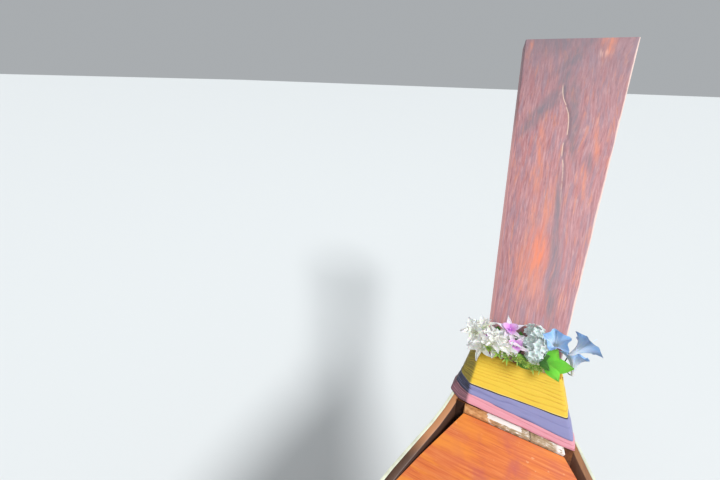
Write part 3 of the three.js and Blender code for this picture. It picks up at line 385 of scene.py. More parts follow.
def weathered_prow_board():
    """Reddish hardwood whose stain has bleached to dusty rose in short fibres, with orange ones where some
    stain is left, grey bare wood and one long drying crack. Pattern coordinates run up and across the
    board's face."""
    made, tree = new_material("weathered_red_hardwood")
    place, facing = add(tree, "ShaderNodeTexCoord", out=("Object", "Normal"))
    local = add(tree, "ShaderNodeMapping", {"Vector": place, "Location": FACE,
                                            "Rotation": (0, RAKE - math.pi / 2, 0)}, vector_type="TEXTURE")
    up, across, through = add(tree, "ShaderNodeSeparateXYZ", {0: local}, out=(0, 1, 2))
    sway = speckle(local, detail=1.0, stretch=(2.6, 8, 1))
    bent = across * (1.2 - up * 0.3) + (sway - 0.5) * 0.035
    flow = add(tree, "ShaderNodeCombineXYZ", {0: up, 1: bent, 2: through})

    def fibres(scale_up, scale_across, seed):
        """Fibres that run up the board and spread with it."""
        vector = add(tree, "ShaderNodeMapping", {"Vector": flow, "Location": (seed, seed, 0),
                                                 "Scale": (scale_up, scale_across, scale_across)})
        return speckle(vector, detail=3.0, rough=0.6)

    streaks = mask(fibres(13, 120, 3), 0.36, 0.62)
    ragged = fibres(9, 50, 9)

    def mark(at_up, at_across, long, wide, lean):
        """1 in the middle of a leaning oval, with a ragged rim."""
        high = up - at_up
        side = across - at_across - high * lean
        reach = add(tree, "ShaderNodeCombineXYZ", {0: high / long, 1: side / wide})
        far = add(tree, "ShaderNodeVectorMath", {0: reach}, out="Value", operation="LENGTH")
        return 1 - mask(far + ragged, 0.6, 2.2)

    def most_of(rows):
        """The strongest of several marks."""
        whole = mark(*rows[0])
        for row in rows[1:]:
            whole = reckon("MAXIMUM", whole, mark(*row))
        return whole

    fine = fibres(13, 170, 0)
    broad = fibres(5, 48, 1)
    colour = add(tree, "ShaderNodeValToRGB", {"Fac": fine},
                 stops=[(0.3, "#9c686d"), (0.43, "#b07c80"), (0.57, "#bb898d"), (0.7, "#c99a9c")])
    for pattern, low, high, share, stain in (
            (broad, 0.48, 0.66, 0.5, "#b56f6c"),
            (fibres(7, 70, 5), 0.48, 0.64, 0.5, "#968493"),
            (fibres(9, 80, 2), 0.54, 0.68, 0.45, "#dc8f70"),
            (fibres(26, 240, 11), 0.53, 0.66, 0.36, "#7f5862"),
            (fibres(22, 240, 13), 0.54, 0.68, 0.24, "#e2bfba"),
            (up, 0.9, 1.5, 0.5, "#85767f")):
        colour = tinted(colour, mask(pattern, low, high) * share, stain)
    colour = tinted(colour, most_of(GREY_MARKS) * (0.45 + streaks * 0.55) * 0.85, "#7d757e")
    colour = tinted(colour, most_of(ORANGE_MARKS) * (0.3 + streaks * 0.7) * 0.6, "#e58c68")
    colour = tinted(colour, mark(*BURNT_MARK) * (0.6 + streaks * 0.4) * 0.75, "#ee8257")
    colour = tinted(colour, most_of(PALE_MARKS) * streaks * 0.6, "#eec3b4")
    course = add(tree, "ShaderNodeFloatCurve", {"Value": up / CRACK_REACH}, curve=CRACK)
    aside = across - (course - 0.5) * CRACK_SWING
    reach = mask(up, 0.66, 0.92) * (1 - mask(up, 1.21, 1.24))
    broken = mask(fibres(26, 40, 7), 0.36, 0.52)
    crack = (1 - mask(abs(aside), 0.0005, 0.0021)) * broken * reach
    # Painted shadow: a dark band along one side of the crack, which the bump also sinks
    shade = (1 - mask(abs(aside + 0.005), 0.001, 0.008)) * reach
    colour = tinted(colour, shade * 0.4, "#5d5560")
    colour = tinted(colour, crack * 0.75, "#ecd0b8")
    # Pale along the starboard edge only: wear, and a painted highlight where that edge catches the key light
    to_edge = BOARD_HALF + up * BOARD_FLARE + across
    worn = 1 - mask(to_edge + (ragged - 0.5) * 0.008, 0.003, 0.007)
    colour = tinted(colour, worn * 0.85, "#f3d8cd")
    # Painted light: the port side faces, in shade under the key light, are lightened to the face's rose below
    # the top
    port_side = mask(add(tree, "ShaderNodeSeparateXYZ", {0: facing}, out=1), 0.2, 0.7)
    lit_port_face = port_side * (1 - mask(up, 0.9, 1.15))
    colour = tinted(colour, lit_port_face * 0.85, "#fbb4b2")
    roughness = add(tree, "ShaderNodeMapRange", {"Value": fine, "To Min": 0.5, "To Max": 0.8})
    finish(tree, colour, roughness, fine * 0.6 + broad * 0.6 - shade * 0.8, 0.0004)
    return made


def varnished_deck():
    """Hardwood boards under old orange varnish: fine grain runs across the boat, violet clouds and light
    specks show where feet have worn the coat, and the coat gives soft highlights."""
    made, tree = new_material("orange_varnished_hardwood")
    place = add(tree, "ShaderNodeTexCoord", out="Object")
    x, y = add(tree, "ShaderNodeSeparateXYZ", {0: place}, out=(0, 1))
    groove, _ = seams(x + 0.20, 0.30, 0.0025)
    fine = speckle(place, detail=5.0, rough=0.65, bend=0.3, stretch=(190, 9, 12))
    bands = speckle(place, detail=4.0, stretch=(38, 6, 8))
    colour = add(tree, "ShaderNodeValToRGB", {"Fac": fine},
                 stops=[(0.3, "#cc6230"), (0.5, "#e07436"), (0.7, "#ee8e4c")])
    to_port = mask(y, 0.02, 0.20)
    colour = tinted(colour, mask(bands, 0.44, 0.62) * (0.35 + to_port * 0.5), "#f69430")
    cloud = speckle(place, 17.0, 4.0)
    from_patch = add(tree, "ShaderNodeVectorMath", {0: place, 1: WORN_PATCH}, out="Value",
                     operation="DISTANCE")
    trodden = (0.8 - mask(from_patch, 0.03, 0.14) * 0.5) * (1 - to_port * 0.7)
    colour = tinted(colour, mask(cloud, 0.42, 0.66) * trodden, "#c65c50")
    colour = tinted(colour, mask(speckle(place, 85.0), 0.69, 0.78) * 0.5, "#f4bd8c")
    colour = tinted(colour, groove, "#5a2410")
    finish(tree, colour, 0.32 + cloud * 0.2, fine - groove * 2.0, 0.0004, Coat_Weight=0.3,
           Coat_Roughness=0.25)
    return made


def flaked_batten():
    """A batten whose pale paint has flaked: varnished wood at its port end, a white painted stripe along
    its fore half in the middle, and silvery bare fibres with a white end to starboard."""
    made, tree = new_material("flaked_painted_batten")
    place = add(tree, "ShaderNodeTexCoord", out="Object")
    x, y = add(tree, "ShaderNodeSeparateXYZ", {0: place}, out=(0, 1))
    flake = speckle(place, detail=5.0, rough=0.7, stretch=(150, 60, 150))
    ragged = y + (flake - 0.5) * 0.03
    wood = add(tree, "ShaderNodeValToRGB", {"Fac": flake},
               stops=[(0.34, "#a5673a"), (0.5, "#d6955c"), (0.66, "#e8b27c")])
    bare = add(tree, "ShaderNodeValToRGB", {"Fac": flake},
               stops=[(0.30, "#6e583f"), (0.42, "#a68a66"), (0.54, "#bfa486"), (0.66, "#f2ede6")])
    colour = tinted(bare, mask(ragged, BATTEN_BARE, BATTEN_GOLDEN), wood)
    from_end, to_end = (mask(ragged, end, end + 0.002) for end in BATTEN_STRIPE)
    stripe = from_end * (1 - to_end)
    fore = mask(x + flake * 0.004, BATTEN_STRIPE_AFT, BATTEN_STRIPE_AFT + 0.001)
    white_end = 1 - mask(ragged, BATTEN_WHITE_END, BATTEN_WHITE_END + 0.010)
    fleck = stripe * mask(flake, 0.55, 0.60) * 0.8
    painted = reckon("MAXIMUM", stripe * fore, fleck)
    white = reckon("MAXIMUM", painted, white_end * mask(flake, 0.38, 0.5))
    colour = tinted(colour, 1 - mask(abs(ragged - BATTEN_SPLIT), 0.0010, 0.0030), "#5c4630")
    colour = tinted(colour, white * 0.95, "#fdf5f0")
    finish(tree, colour, 0.55, flake, 0.0012)
    return made


def brush_painted(name, main, under, chipped):
    """Gloss paint brushed on wood: faint strokes along the boat, chips down to the wood, grime in its
    hollows."""
    made, tree = new_material(name)
    place = add(tree, "ShaderNodeTexCoord", out="Object")
    strokes = speckle(place, detail=3.0, stretch=(3, 260, 260))
    blotch = speckle(place, 22.0, 7.0, 0.7)
    chips = mask(blotch, 0.70 - chipped, 0.715 - chipped)
    colour = tinted(main, mask(blotch, 0.42, 0.7) * 0.3, "#4a3a2c")
    colour = tinted(colour, chips, under)
    finish(tree, colour, 0.36 + chips * 0.3, strokes * 0.3 - chips, 0.0003)
    return made


def pleated_satin(name, light, middle, dark, shade_colour, hem=None):
    """Thin polyester satin: a fine weave across the band, a soft sheen, painted shade in the valleys of its
    pleats, and a painted shade colour on the faces that look to port of the board, lifted by a painted
    highlight along a few streaks."""
    made, tree = new_material(name)
    flat = add(tree, "ShaderNodeUVMap", uv_map="cloth")
    rise = add(tree, "ShaderNodeSeparateXYZ", {0: flat}, out=1)
    crest = add(tree, "ShaderNodeAttribute", out="Fac", attribute_name="crest")
    port_shading = add(tree, "ShaderNodeAttribute", out="Fac", attribute_name="port_shading")
    threads = add(tree, "ShaderNodeTexWave", {"Vector": flat, "Scale": 260.0, "Distortion": 1.5,
                                              "Detail": 2.0}, out="Fac", bands_direction="Y")
    streak = speckle(flat, detail=3.0, stretch=(5, 240, 1))
    # Painted shade: darker in the pleats' valleys, and the given shade colour over the faces that look to
    # port, lifted along a few streaks as a painted highlight
    colour = add(tree, "ShaderNodeValToRGB", {"Fac": crest + (streak - 0.5) * 0.35},
                 stops=[(0.0, dark), (0.4, middle), (0.85, light)])
    colour = tinted(colour, port_shading * (0.9 - mask(streak, 0.50, 0.62) * 0.4), shade_colour)
    if hem:
        colour = tinted(colour, (1 - mask(rise, HEM + 0.0005, HEM + 0.0030)) * 0.55, "#fff0b4")
        colour = tinted(colour, 1 - mask(rise, HEM, HEM + 0.0004), hem)
    finish(tree, colour, 0.62, threads, 0.00012, Sheen_Weight=0.3, Sheen_Roughness=0.4,
           Subsurface_Weight=0.05, Subsurface_Scale=0.004)
    return made


def dyed_petal(name, base, middle, tip, rough=0.6):
    """Starched polyester petal: dye that runs from its base to its tip, veins pressed along it, and a faint
    glow for the light that comes through cloth so thin."""
    made, tree = new_material(name)
    flat = add(tree, "ShaderNodeUVMap", uv_map="petal")
    along = add(tree, "ShaderNodeSeparateXYZ", {0: flat}, out=1)
    run = along + (speckle(flat, detail=3.0, stretch=(14, 2.5, 1)) - 0.5) * 0.35
    colour = add(tree, "ShaderNodeValToRGB", {"Fac": run}, stops=[(0.05, base), (0.5, middle), (0.92, tip)])
    veins = add(tree, "ShaderNodeTexWave", {"Vector": flat, "Scale": 3.2, "Distortion": 1.0}, out="Fac")
    finish(tree, colour, rough, veins, 0.0004, Sheen_Weight=0.3, Subsurface_Weight=0.15,
           Subsurface_Scale=0.005, Emission_Color=colour, Emission_Strength=PETAL_GLOW)
    return made


def coated_canvas(name, main, faded):
    """Coated canvas: a plain weave drawn at 4 mm so that it shows, a stitched seam at each bow, and sun
    fading."""
    made, tree = new_material(name)
    place = add(tree, "ShaderNodeTexCoord", out="Object")
    x, y = add(tree, "ShaderNodeSeparateXYZ", {0: place}, out=(0, 1))
    warp = reckon("SINE", x * (2 * math.pi / CANVAS_THREAD))
    weft = reckon("SINE", y * (2 * math.pi / CANVAS_THREAD))
    seam = reckon("PINGPONG", x - BOWS[2], BOW_PITCH / 2)
    stitched = 1 - mask(seam, 0.010, 0.014)
    thread = mask(seam, 0.008, 0.0095) * stitched
    fade = speckle(place, detail=7.0, rough=0.6, stretch=(1.4, 5, 5))
    colour = tinted(main, mask(fade, 0.35, 0.75), faded)
    colour = tinted(colour, thread * 0.55, "#0e2a38")
    finish(tree, colour, 0.55, warp * weft * 0.12 + stitched, 0.001, Sheen_Weight=0.1)
    return made


def metal(name, light, dark, rough, metallic=1.0, grit=0.002, relief=0.0003, rust=0.0, coat=0.0,
          rust_colour="#7c3b1b"):
    """A metal surface: tone and gloss that drift over centimetres, grit of its casting, rolling or
    brushing, and rust or grime that gathers in blotches and is rough and dull."""
    made, tree = new_material(name)
    place = add(tree, "ShaderNodeTexCoord", out="Object")
    drift = speckle(place, 9.0, 5.0)
    grains = speckle(place, 0.5 / grit)
    rusted = mask(speckle(place, 17.0, 8.0, 0.68), 0.72 - rust * 0.4, 0.8 - rust * 0.4)
    colour = tinted(dark, mask(drift, 0.35, 0.65), light)
    colour = tinted(colour, rusted * 0.85, rust_colour)
    roughness = rough - 0.08 + drift * 0.16 + rusted * 0.35
    finish(tree, colour, roughness, grains + rusted, relief, Metallic=(1 - rusted) * metallic,
           Coat_Weight=coat, Coat_Roughness=0.2)
    return made


def moulded(name, main, dark, rough, grit=0.003, relief=0.0002):
    """Moulded plastic or rubber: one colour with a slight drift, fine texture, and dust that dulls it."""
    made, tree = new_material(name)
    place = add(tree, "ShaderNodeTexCoord", out="Object")
    drift = speckle(place, 12.0, 5.0)
    colour = tinted(main, mask(drift, 0.35, 0.7), dark)
    finish(tree, colour, rough - 0.07 + drift * 0.14, speckle(place, 0.5 / grit), relief)
    return made


def spangled_zinc(name):
    """Hot-dip galvanised steel gone dull: zinc crystals about 12 mm across, each a slightly different grey,
    and rust that starts in blotches."""
    made, tree = new_material(name)
    place = add(tree, "ShaderNodeTexCoord", out="Object")
    cells = add(tree, "ShaderNodeTexVoronoi", {"Vector": place, "Scale": 80.0}, out="Color")
    tone = add(tree, "ShaderNodeSeparateColor", {0: cells})
    stain = speckle(place, 11.0, 8.0, 0.7)
    rusted = mask(stain, 0.58, 0.68)
    colour = tinted("#84888a", tone, "#a3a6a6")
    colour = tinted(colour, rusted * 0.7, "#6f4527")
    finish(tree, colour, tone * 0.12 + (0.42 + rusted * 0.3), stain, 0.0004, Metallic=(1 - rusted) * 0.9)
    return made


def hull_planks():
    """Oiled brown hull planks: grain along the boat, a damp dark band with a pale salt line at the water, old
    brown bottom paint below it, and at the bow painted shade on the top and inner faces, stronger to port,
    with a painted sunlit tan on the top faces near the tip."""
    made, tree = new_material("oiled_hull_planks")
    place, facing = add(tree, "ShaderNodeTexCoord", out=("Object", "Normal"))
    x, y, z = add(tree, "ShaderNodeSeparateXYZ", {0: place}, out=(0, 1, 2))
    grain = add(tree, "ShaderNodeMapping", {"Vector": place, "Scale": (0.8, 26, 26)})
    figure = speckle(grain, detail=6.0, rough=0.62, bend=0.5) * 0.7 + speckle(grain, 7.0, 3.0) * 0.3
    colour = add(tree, "ShaderNodeValToRGB", {"Fac": figure},
                 stops=[(0.34, "#5c3220"), (0.5, "#94603a"), (0.66, "#b9824f")])
    cloud = speckle(place, 1.7, 4.0)
    level = z + (cloud - 0.5) * 0.05
    damp = 1 - mask(level, 0.05, 0.12)
    salt = damp * mask(level, 0.045, 0.085)
    below = 1 - mask(level, 0.005, 0.02)
    turned_y, turned_z = add(tree, "ShaderNodeSeparateXYZ", {0: facing}, out=(1, 2))
    bow = mask(x, 2.9, 3.1)
    on_port = mask(y, -0.1, 0.1)
    upward = mask(turned_z, 0.8, 0.95) * (0.3 + on_port * 0.7)
    inner = bow * (1 - mask(reckon("SIGN", y) * turned_y, -0.4, -0.2))
    # The last four tints are painted light at the bow: painted shadow on the top faces, painted shade in two
    # steps on the inner faces, and a painted sunlit tan on the top faces near the tip
    for where, stain in (
            (mask(cloud, 0.42, 0.66) * 0.4, "#6d4330"), (damp * 0.5, "#2f1d14"), (salt * 0.35, "#cdbfa8"),
            (below * 0.85, "#4c2a22"), (bow * upward * 0.85, "#3c261a"), (inner * 0.6, "#7c4a3a"),
            (inner * (0.35 + on_port * 0.5), "#2a160d"), (mask(x, 4.13, 4.22) * upward * 0.85, "#c98a5c")):
        colour = tinted(colour, where, stain)
    finish(tree, colour, 0.58 - damp * 0.2, figure, 0.0006, Coat_Weight=0.15, Coat_Roughness=0.25)
    return made


def make_finishes():
    """One material for each slot of the record, and those of the flowers and fastenings."""
    return {
        "hull_timber": hull_planks(),
        "dark_timber": timber("dark_oiled_hardwood", "#3a2013", "#63381f", "#83502e", rough=(0.5, 0.7)),
        # The stem's faces that look aft get a near-black painted shade and little gleam
        "stem_timber": timber("aft_shaded_hardwood", "#3a2013", "#63381f", "#83502e", along="Z",
                              rough=(0.5, 0.7), damp="#1c0d07", gleam=0.12),
        "deck_timber": timber("bare_scrubbed_boards", "#6e4a30", "#97704c", "#b8946c", boards=0.14,
                              bare="#b9a68d", bareness=0.35, rough=(0.6, 0.8)),
        "varnished_timber": timber("varnished_bench_boards", "#8a3a14", "#bd6228", "#d98a47", along="Y",
                                   ring=0.010, rough=(0.28, 0.45), coat=0.4, boards=0.145,
                                   bare="#d8a878", bareness=0.1),
        "deck_varnish": varnished_deck(),
        "canopy_timber": timber("satin_varnished_poles", "#6a3b1f", "#93592f", "#ad7443", rough=(0.4, 0.55),
                                coat=0.15),
        "prow_timber": weathered_prow_board(),
        "worn_batten": flaked_batten(),
        "cream_paint": brush_painted("cream_gloss_on_wood", "#e2e6cf", "#8a5a35", 0.02),
        # The fourth colour of each satin is its painted shade on the faces that look to port
        "yellow_cloth": pleated_satin("yellow_satin", "#eac434", "#dfb128", "#c08f1c", "#7c7230", "#1c130c"),
        "blue_cloth": pleated_satin("periwinkle_satin", "#8b8bb9", "#7878a8", "#3b3d60", "#23242e"),
        "pink_cloth": pleated_satin("rose_satin", "#e49aa8", "#d48390", "#9a4a54", "#6a4a54"),
        "cloth_flowers": dyed_petal("white_petal", "#d6e4b8", "#fdfdf2", "#ffffff"),
        "posy": dyed_petal("cool_white_petal", "#cfe6da", "#eefbf9", "#f6ffff"),
        "orchid": dyed_petal("orchid_petal", "#f0c8f0", "#f6e6f6", "#fbf4fb"),
        "orchid_lip": dyed_petal("orchid_lip", "#c066cc", "#e4a0e6", "#f0c4f0"),
        "trumpet": dyed_petal("blue_trumpet_petal", "#fbfffd", "#dcecfb", "#94c0f0"),
        "frond": dyed_petal("yellow_green_frond", "#6a9e2a", "#a0cc3c", "#c0e060"),
        "leaf": dyed_petal("pressed_leaf", "#58ac28", "#72d836", "#88e446", 0.45),
        "blade": dyed_petal("mid_green_blade", "#4a8a26", "#70a836", "#88bc4c"),
        "dark_leaf": dyed_petal("dark_pressed_leaf", "#1f4716", "#336a1c", "#4f8e2c", 0.5),
        "canopy_cloth": coated_canvas("coated_canvas", "#2a6a83", "#4b88a0"),
        "red_plastic": moulded("blow_moulded_polythene", "#a52a20", "#8a231b", 0.42),
        "galvanised_steel": spangled_zinc("galvanised_steel"),
        "engine_enamel": metal("blue_enamelled_iron", "#3d7391", "#2b546b", 0.4, 0.0, 0.004, 0.0006, 0.12,
                               coat=0.3, rust_colour="#20160f"),
        "cast_alloy": metal("sand_cast_aluminium", "#a9abab", "#8d9090", 0.5, 0.9, 0.0025, 0.0005, 0.02,
                            rust_colour="#2b2622"),
        "rusty_steel": metal("heat_browned_steel", "#6a5040", "#463229", 0.6, 0.6, 0.003, 0.0005, 0.3),
        "dark_steel": metal("blackened_steel", "#3c3f41", "#27292b", 0.45, 0.7, 0.003, 0.0002, 0.05),
        "filter_plastic": moulded("black_nylon", "#1a1a1c", "#26262a", 0.5),
        "grip_rubber": moulded("ribbed_rubber", "#151516", "#232323", 0.75, 0.006, 0.001),
        "bronze": metal("sand_polished_bronze", "#c79a4c", "#94692c", 0.28, 1.0, 0.004, 0.0001, 0.03,
                        rust_colour="#3f6a55"),
        "iron_nail": metal("driven_iron_nail", "#4a4744", "#332f2c", 0.6, 0.6, 0.002, 0.0002, 0.25),
        "zinc_bolt": metal("zinc_plated_bolt", "#b2b4b2", "#8e9190", 0.35, 1.0, 0.002, 0.0001, 0.03),
        "brass_eyelet": metal("brass_eyelet", "#c9a45a", "#9c7a3a", 0.35, 1.0, 0.002, 0.0001, 0.03,
                              rust_colour="#4a5a3a"),
    }


FINISHES = make_finishes()
# Slots of the finishes that aren't named for their own
SLOT_OF = dict.fromkeys(("posy", "orchid", "orchid_lip", "trumpet", "frond", "leaf", "blade", "dark_leaf"),
                        "cloth_flowers")
SLOT_OF |= {"deck_varnish": "varnished_timber", "stem_timber": "dark_timber", "iron_nail": "hull_timber",
            "zinc_bolt": "dark_steel", "brass_eyelet": "canopy_cloth"}


# Meshes and pieces

def looked_up(value, rows, column=1):
    """A column of a table at a value of its first column, on a straight line between rows."""
    return float(np.interp(value, [row[0] for row in rows], [row[column] for row in rows]))


def risen(value, low, high):
    """0 below low, 1 above high, smooth between."""
    t = looked_up(value, [(low, 0), (high, 1)])
    return t * t * (3 - 2 * t)


def circle(radius, z, sides):
    """Evenly spaced points of a circle round +Z."""
    turns = [2 * math.pi * k / sides for k in range(sides)]
    return [Vector((radius * math.cos(turn), radius * math.sin(turn), z)) for turn in turns]


def quads(rows, columns, ring=True, loop=False):
    """Faces between rows of points. In a ring the last point of a row is next to its first one, and in a
    loop the last row is next to the first one."""
    faces = []
    for j in range(rows if loop else rows - 1):
        here, above = j * columns, (j + 1) % rows * columns
        for k in range(columns if ring else columns - 1):
            beside = (k + 1) % columns
            faces.append((here + k, here + beside, above + beside, above + k))
    return faces


def skin(rings):
    """Points and faces of a closed shape from rings of points, with flat ends."""
    points = [point for ring in rings for point in ring]
    sides = len(rings[0])
    ends = [tuple(reversed(range(sides))), tuple(range(len(points) - sides, len(points)))]
    return points, quads(len(rings), sides) + ends


def together(*parts):
    """Points and faces of several parts as those of one."""
    points, faces = [], []
    for part_points, part_faces in parts:
        start = len(points)
        points += part_points
        faces += [tuple(start + k for k in face) for face in part_faces]
    return points, faces


def mesh_of(name, points, faces):
    """A mesh with no finish yet."""
    mesh = bpy.data.meshes.new(name)
    mesh.from_pydata([tuple(p) for p in points], [], faces)
    mesh.update()
    return mesh


@contextlib.contextmanager
def reworked(mesh):
    """Gives a mesh to work on by bmesh, and writes the work back to it."""
    grid = bmesh.new()
    grid.from_mesh(mesh)
    yield grid
    grid.to_mesh(mesh)
    grid.free()


def put(name, data):
    """An object in the scene for a mesh, a lamp or a camera."""
    made = bpy.data.objects.new(name, data)
    bpy.context.scene.collection.objects.link(made)
    return made


def piece(name, mesh, finish_name, body="root", stands_for=(), smooth=40):
    """Puts a mesh in the scene as one finished piece that rides on a body."""
    made = put(name, mesh)
    mesh.materials.clear()
    mesh.materials.append(FINISHES[finish_name])
    mesh.shade_smooth()
    mesh.set_sharp_from_angle(angle=math.radians(smooth))
    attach(made, body)
    if stands_for:
        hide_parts(*stands_for)
    return made


def baked(source):
    """The evaluated mesh of an object whose modifiers are live. The object is removed."""
    graph = bpy.context.evaluated_depsgraph_get()
    mesh = bpy.data.meshes.new_from_object(source.evaluated_get(graph), depsgraph=graph)
    bpy.data.objects.remove(source)
    return mesh


def flare_at(point, rows):
    """The share by which the bow is wider at a point of its solids."""
    return looked_up(point.x, rows) * risen(point.z, 0, FLARED_FROM)


def flare_bow(mesh, rows, cuts):
    """Widens what lies in the bow. What bends with the flare is first cut where the flare changes its
    course."""
    with reworked(mesh) as grid:
        for x in cuts:
            bmesh.ops.bisect_plane(grid, geom=[*grid.verts, *grid.edges, *grid.faces], plane_co=(x, 0, 0),
                                   plane_no=(1, 0, 0), dist=1e-5)
        for vert in grid.verts:
            vert.co.y *= 1 + flare_at(vert.co, rows)


def eased(node, edge, finish_name, body):
    """A copy of a CAD node with its edges eased, as sanding, casting or wear leaves them."""
    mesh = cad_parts[node].data.copy()
    with reworked(mesh) as grid:
        bmesh.ops.remove_doubles(grid, verts=grid.verts, dist=2e-5)
        bmesh.ops.dissolve_limit(grid, angle_limit=math.radians(1), verts=grid.verts, edges=grid.edges)
        bmesh.ops.recalc_face_normals(grid, faces=grid.faces)
    holder = put("holder", mesh)
    bevel = holder.modifiers.new("edge", "BEVEL")
    bevel.width = edge
    bevel.segments = 2
    bevel.limit_method = "ANGLE"
    bevel.angle_limit = math.radians(30)
    bevel.use_clamp_overlap = True
    mesh = baked(holder)
    if body == "root":
        rows = DECK_FLARE if node == "foredeck" else BOW_FLARE
        flare_bow(mesh, rows, [] if node == "stem" else [x for x, _ in rows])
    piece(f"{node}_eased", mesh, finish_name, body, (node,))


def repeats(name, shape, places, finish_name, body="root", stands_for=(), smooth=40):
    """Copies of one mesh made by Geometry Nodes. Each place is a point, the way its +Z points, the way its
    +X leans and its size."""
    points = mesh_of(f"{name}_points", [place[0] for place in places], [])
    points.attributes.new("turn", "FLOAT_VECTOR", "POINT")
    points.attributes.new("size", "FLOAT", "POINT")
    for k, (_, way, lean, size) in enumerate(places):
        z_axis = Vector(way).normalized()
        y_axis = z_axis.cross(Vector(lean)).normalized()
        turn = Matrix((y_axis.cross(z_axis), y_axis, z_axis)).transposed()
        points.attributes["turn"].data[k].vector = turn.to_euler()
        points.attributes["size"].data[k].value = size
    holder = put("holder", points)
    stamp = put("stamp", shape)
    tree = bpy.data.node_groups.new(name, "GeometryNodeTree")
    given = {}
    for socket, kind in (("Places", "Geometry"), ("Shape", "Object"), ("Finish", "Material")):
        made = tree.interface.new_socket(socket, in_out="INPUT", socket_type=f"NodeSocket{kind}")
        given[socket] = made.identifier
    tree.interface.new_socket("Copies", in_out="OUTPUT", socket_type="NodeSocketGeometry")
    place, form, paint = add(tree, "NodeGroupInput", out=("Places", "Shape", "Finish"))
    named = "GeometryNodeInputNamedAttribute"
    turn = add(tree, named, {"Name": "turn"}, out="Attribute", data_type="FLOAT_VECTOR")
    size = add(tree, named, {"Name": "size"}, out="Attribute", data_type="FLOAT")
    stamped = add(tree, "GeometryNodeObjectInfo", {"Object": form}, out="Geometry")
    copies = add(tree, "GeometryNodeInstanceOnPoints",
                 {"Points": place, "Instance": stamped, "Rotation": turn, "Scale": size})
    real = add(tree, "GeometryNodeRealizeInstances", {0: copies})
    painted = add(tree, "GeometryNodeSetMaterial", {"Geometry": real, "Material": paint})
    add(tree, "NodeGroupOutput", {0: painted}, out=None)
    maker = holder.modifiers.new(name, "NODES")
    maker.node_group = tree
    maker[given["Shape"]] = stamp
    maker[given["Finish"]] = FINISHES[finish_name]
    mesh = baked(holder)
    bpy.data.objects.remove(stamp)
    piece(name, mesh, finish_name, body, stands_for, smooth)


def nodes_of(*starts):
    """Names of the CAD nodes whose names start so."""
    return [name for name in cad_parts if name.startswith(starts)]


def solids_tree(names):
    """CAD nodes as one body that rays can be cast at."""
    shapes = []
    for name in names:
        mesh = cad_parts[name].data
        shapes.append(([v.co.copy() for v in mesh.vertices], [f.vertices for f in mesh.polygons]))
    points, faces = together(*shapes)
    return BVHTree.FromPolygons(points, faces)


# Camera, floor and light

def set_camera():
    """The photo's own view: the camera looks down and to port, rolled a little, from a boat that heels."""
    ahead = Vector((math.cos(TO_PORT) * math.cos(DOWNWARD), math.sin(TO_PORT) * math.cos(DOWNWARD),
                    -math.sin(DOWNWARD)))
    right = Vector((math.sin(TO_PORT), -math.cos(TO_PORT), 0))
    upward = right.cross(ahead)
    level = Matrix.Rotation(-HEEL, 3, "X")
    x_axis = level @ (right * math.cos(ROLL) + upward * math.sin(ROLL))
    y_axis = level @ (upward * math.cos(ROLL) - right * math.sin(ROLL))
    optics = bpy.data.cameras.new("camera")
    optics.lens = LENS_MM
    optics.sensor_width = SENSOR_MM
    optics.sensor_fit = "HORIZONTAL"
    optics.clip_start = 0.02
    optics.clip_end = 400
    camera = put("camera", optics)
    turn = Matrix((x_axis, y_axis, -(level @ ahead))).transposed()
    camera.matrix_world = Matrix.Translation(EYE) @ turn.to_4x4()
    bpy.context.scene.camera = camera


def lay_water_floor():
    """A pale floor at the waterline, with the boat's own outline left open inside its planks."""
    hull = solids_tree(nodes_of("garboard", "bilge_strake", "side_strake", "stem", "transom", "keel"))
    port = []
    for x in np.arange(-4.76, 3.4, 0.02):
        hit = hull.ray_cast(Vector((x, 3, 0)), Vector((0, -1, 0)))[0]
        if hit:
            port.append((x, max(hit.y - FLOOR_INSIDE, 0.004)))
    inner = port + [(x, -y) for x, y in reversed(port)]
    outer = [(x * FLOOR_REACH, y * FLOOR_REACH) for x, y in ((-1, -1), (1, -1), (1, 1), (-1, 1))]
    mesh = bpy.data.meshes.new("floor")
    with reworked(mesh) as grid:
        edges = []
        for outline in (inner, outer):
            verts = [grid.verts.new((x, y, 0)) for x, y in outline]
            edges += [grid.edges.new((verts[k], verts[(k + 1) % len(verts)])) for k in range(len(verts))]
        bmesh.ops.triangle_fill(grid, edges=edges, use_dissolve=False, use_beauty=True)
        bmesh.ops.recalc_face_normals(grid, faces=grid.faces)
    if mesh.polygons[0].normal.z < 0:
        mesh.flip_normals()
    pale, tree = new_material("pale_floor")
    finish(tree, rgb("#dfe3e4"), 0.7)
    mesh.materials.append(pale)
    put("floor", mesh)


def set_light():
    """Soft studio light: a broad key from high on the starboard quarter, a weak fill, and pale
    surroundings."""
    for name, power, spread, height, bearing in (("key", 2.7, 20, 52, -118), ("fill", 0.35, 60, 50, 170)):
        sun = bpy.data.lights.new(name, "SUN")
        sun.energy = power
        sun.angle = math.radians(spread)
        up, around = math.radians(height), math.radians(bearing)
        source = Vector((math.cos(up) * math.cos(around), math.cos(up) * math.sin(around), math.sin(up)))
        put(name, sun).rotation_euler = source.to_track_quat("Z", "Y").to_euler()
    world = bpy.data.worlds.new("studio")
    bpy.context.scene.world = world
    world.use_nodes = True
    world.node_tree.nodes.clear()
    sky = add(world.node_tree, "ShaderNodeBackground", {"Color": rgb("#e6ebef"), "Strength": 0.5})
    add(world.node_tree, "ShaderNodeOutputWorld", {"Surface": sky}, out=None)
    bpy.context.scene.view_settings.view_transform = "Standard"


# Sashes

def on_prow(up, across, off):
    """A point up the board's face from deck height, across it to port, and off it towards the stern."""
    return FACE + UP_BOARD * up + Vector((0, across, 0)) + OFF_BOARD * off


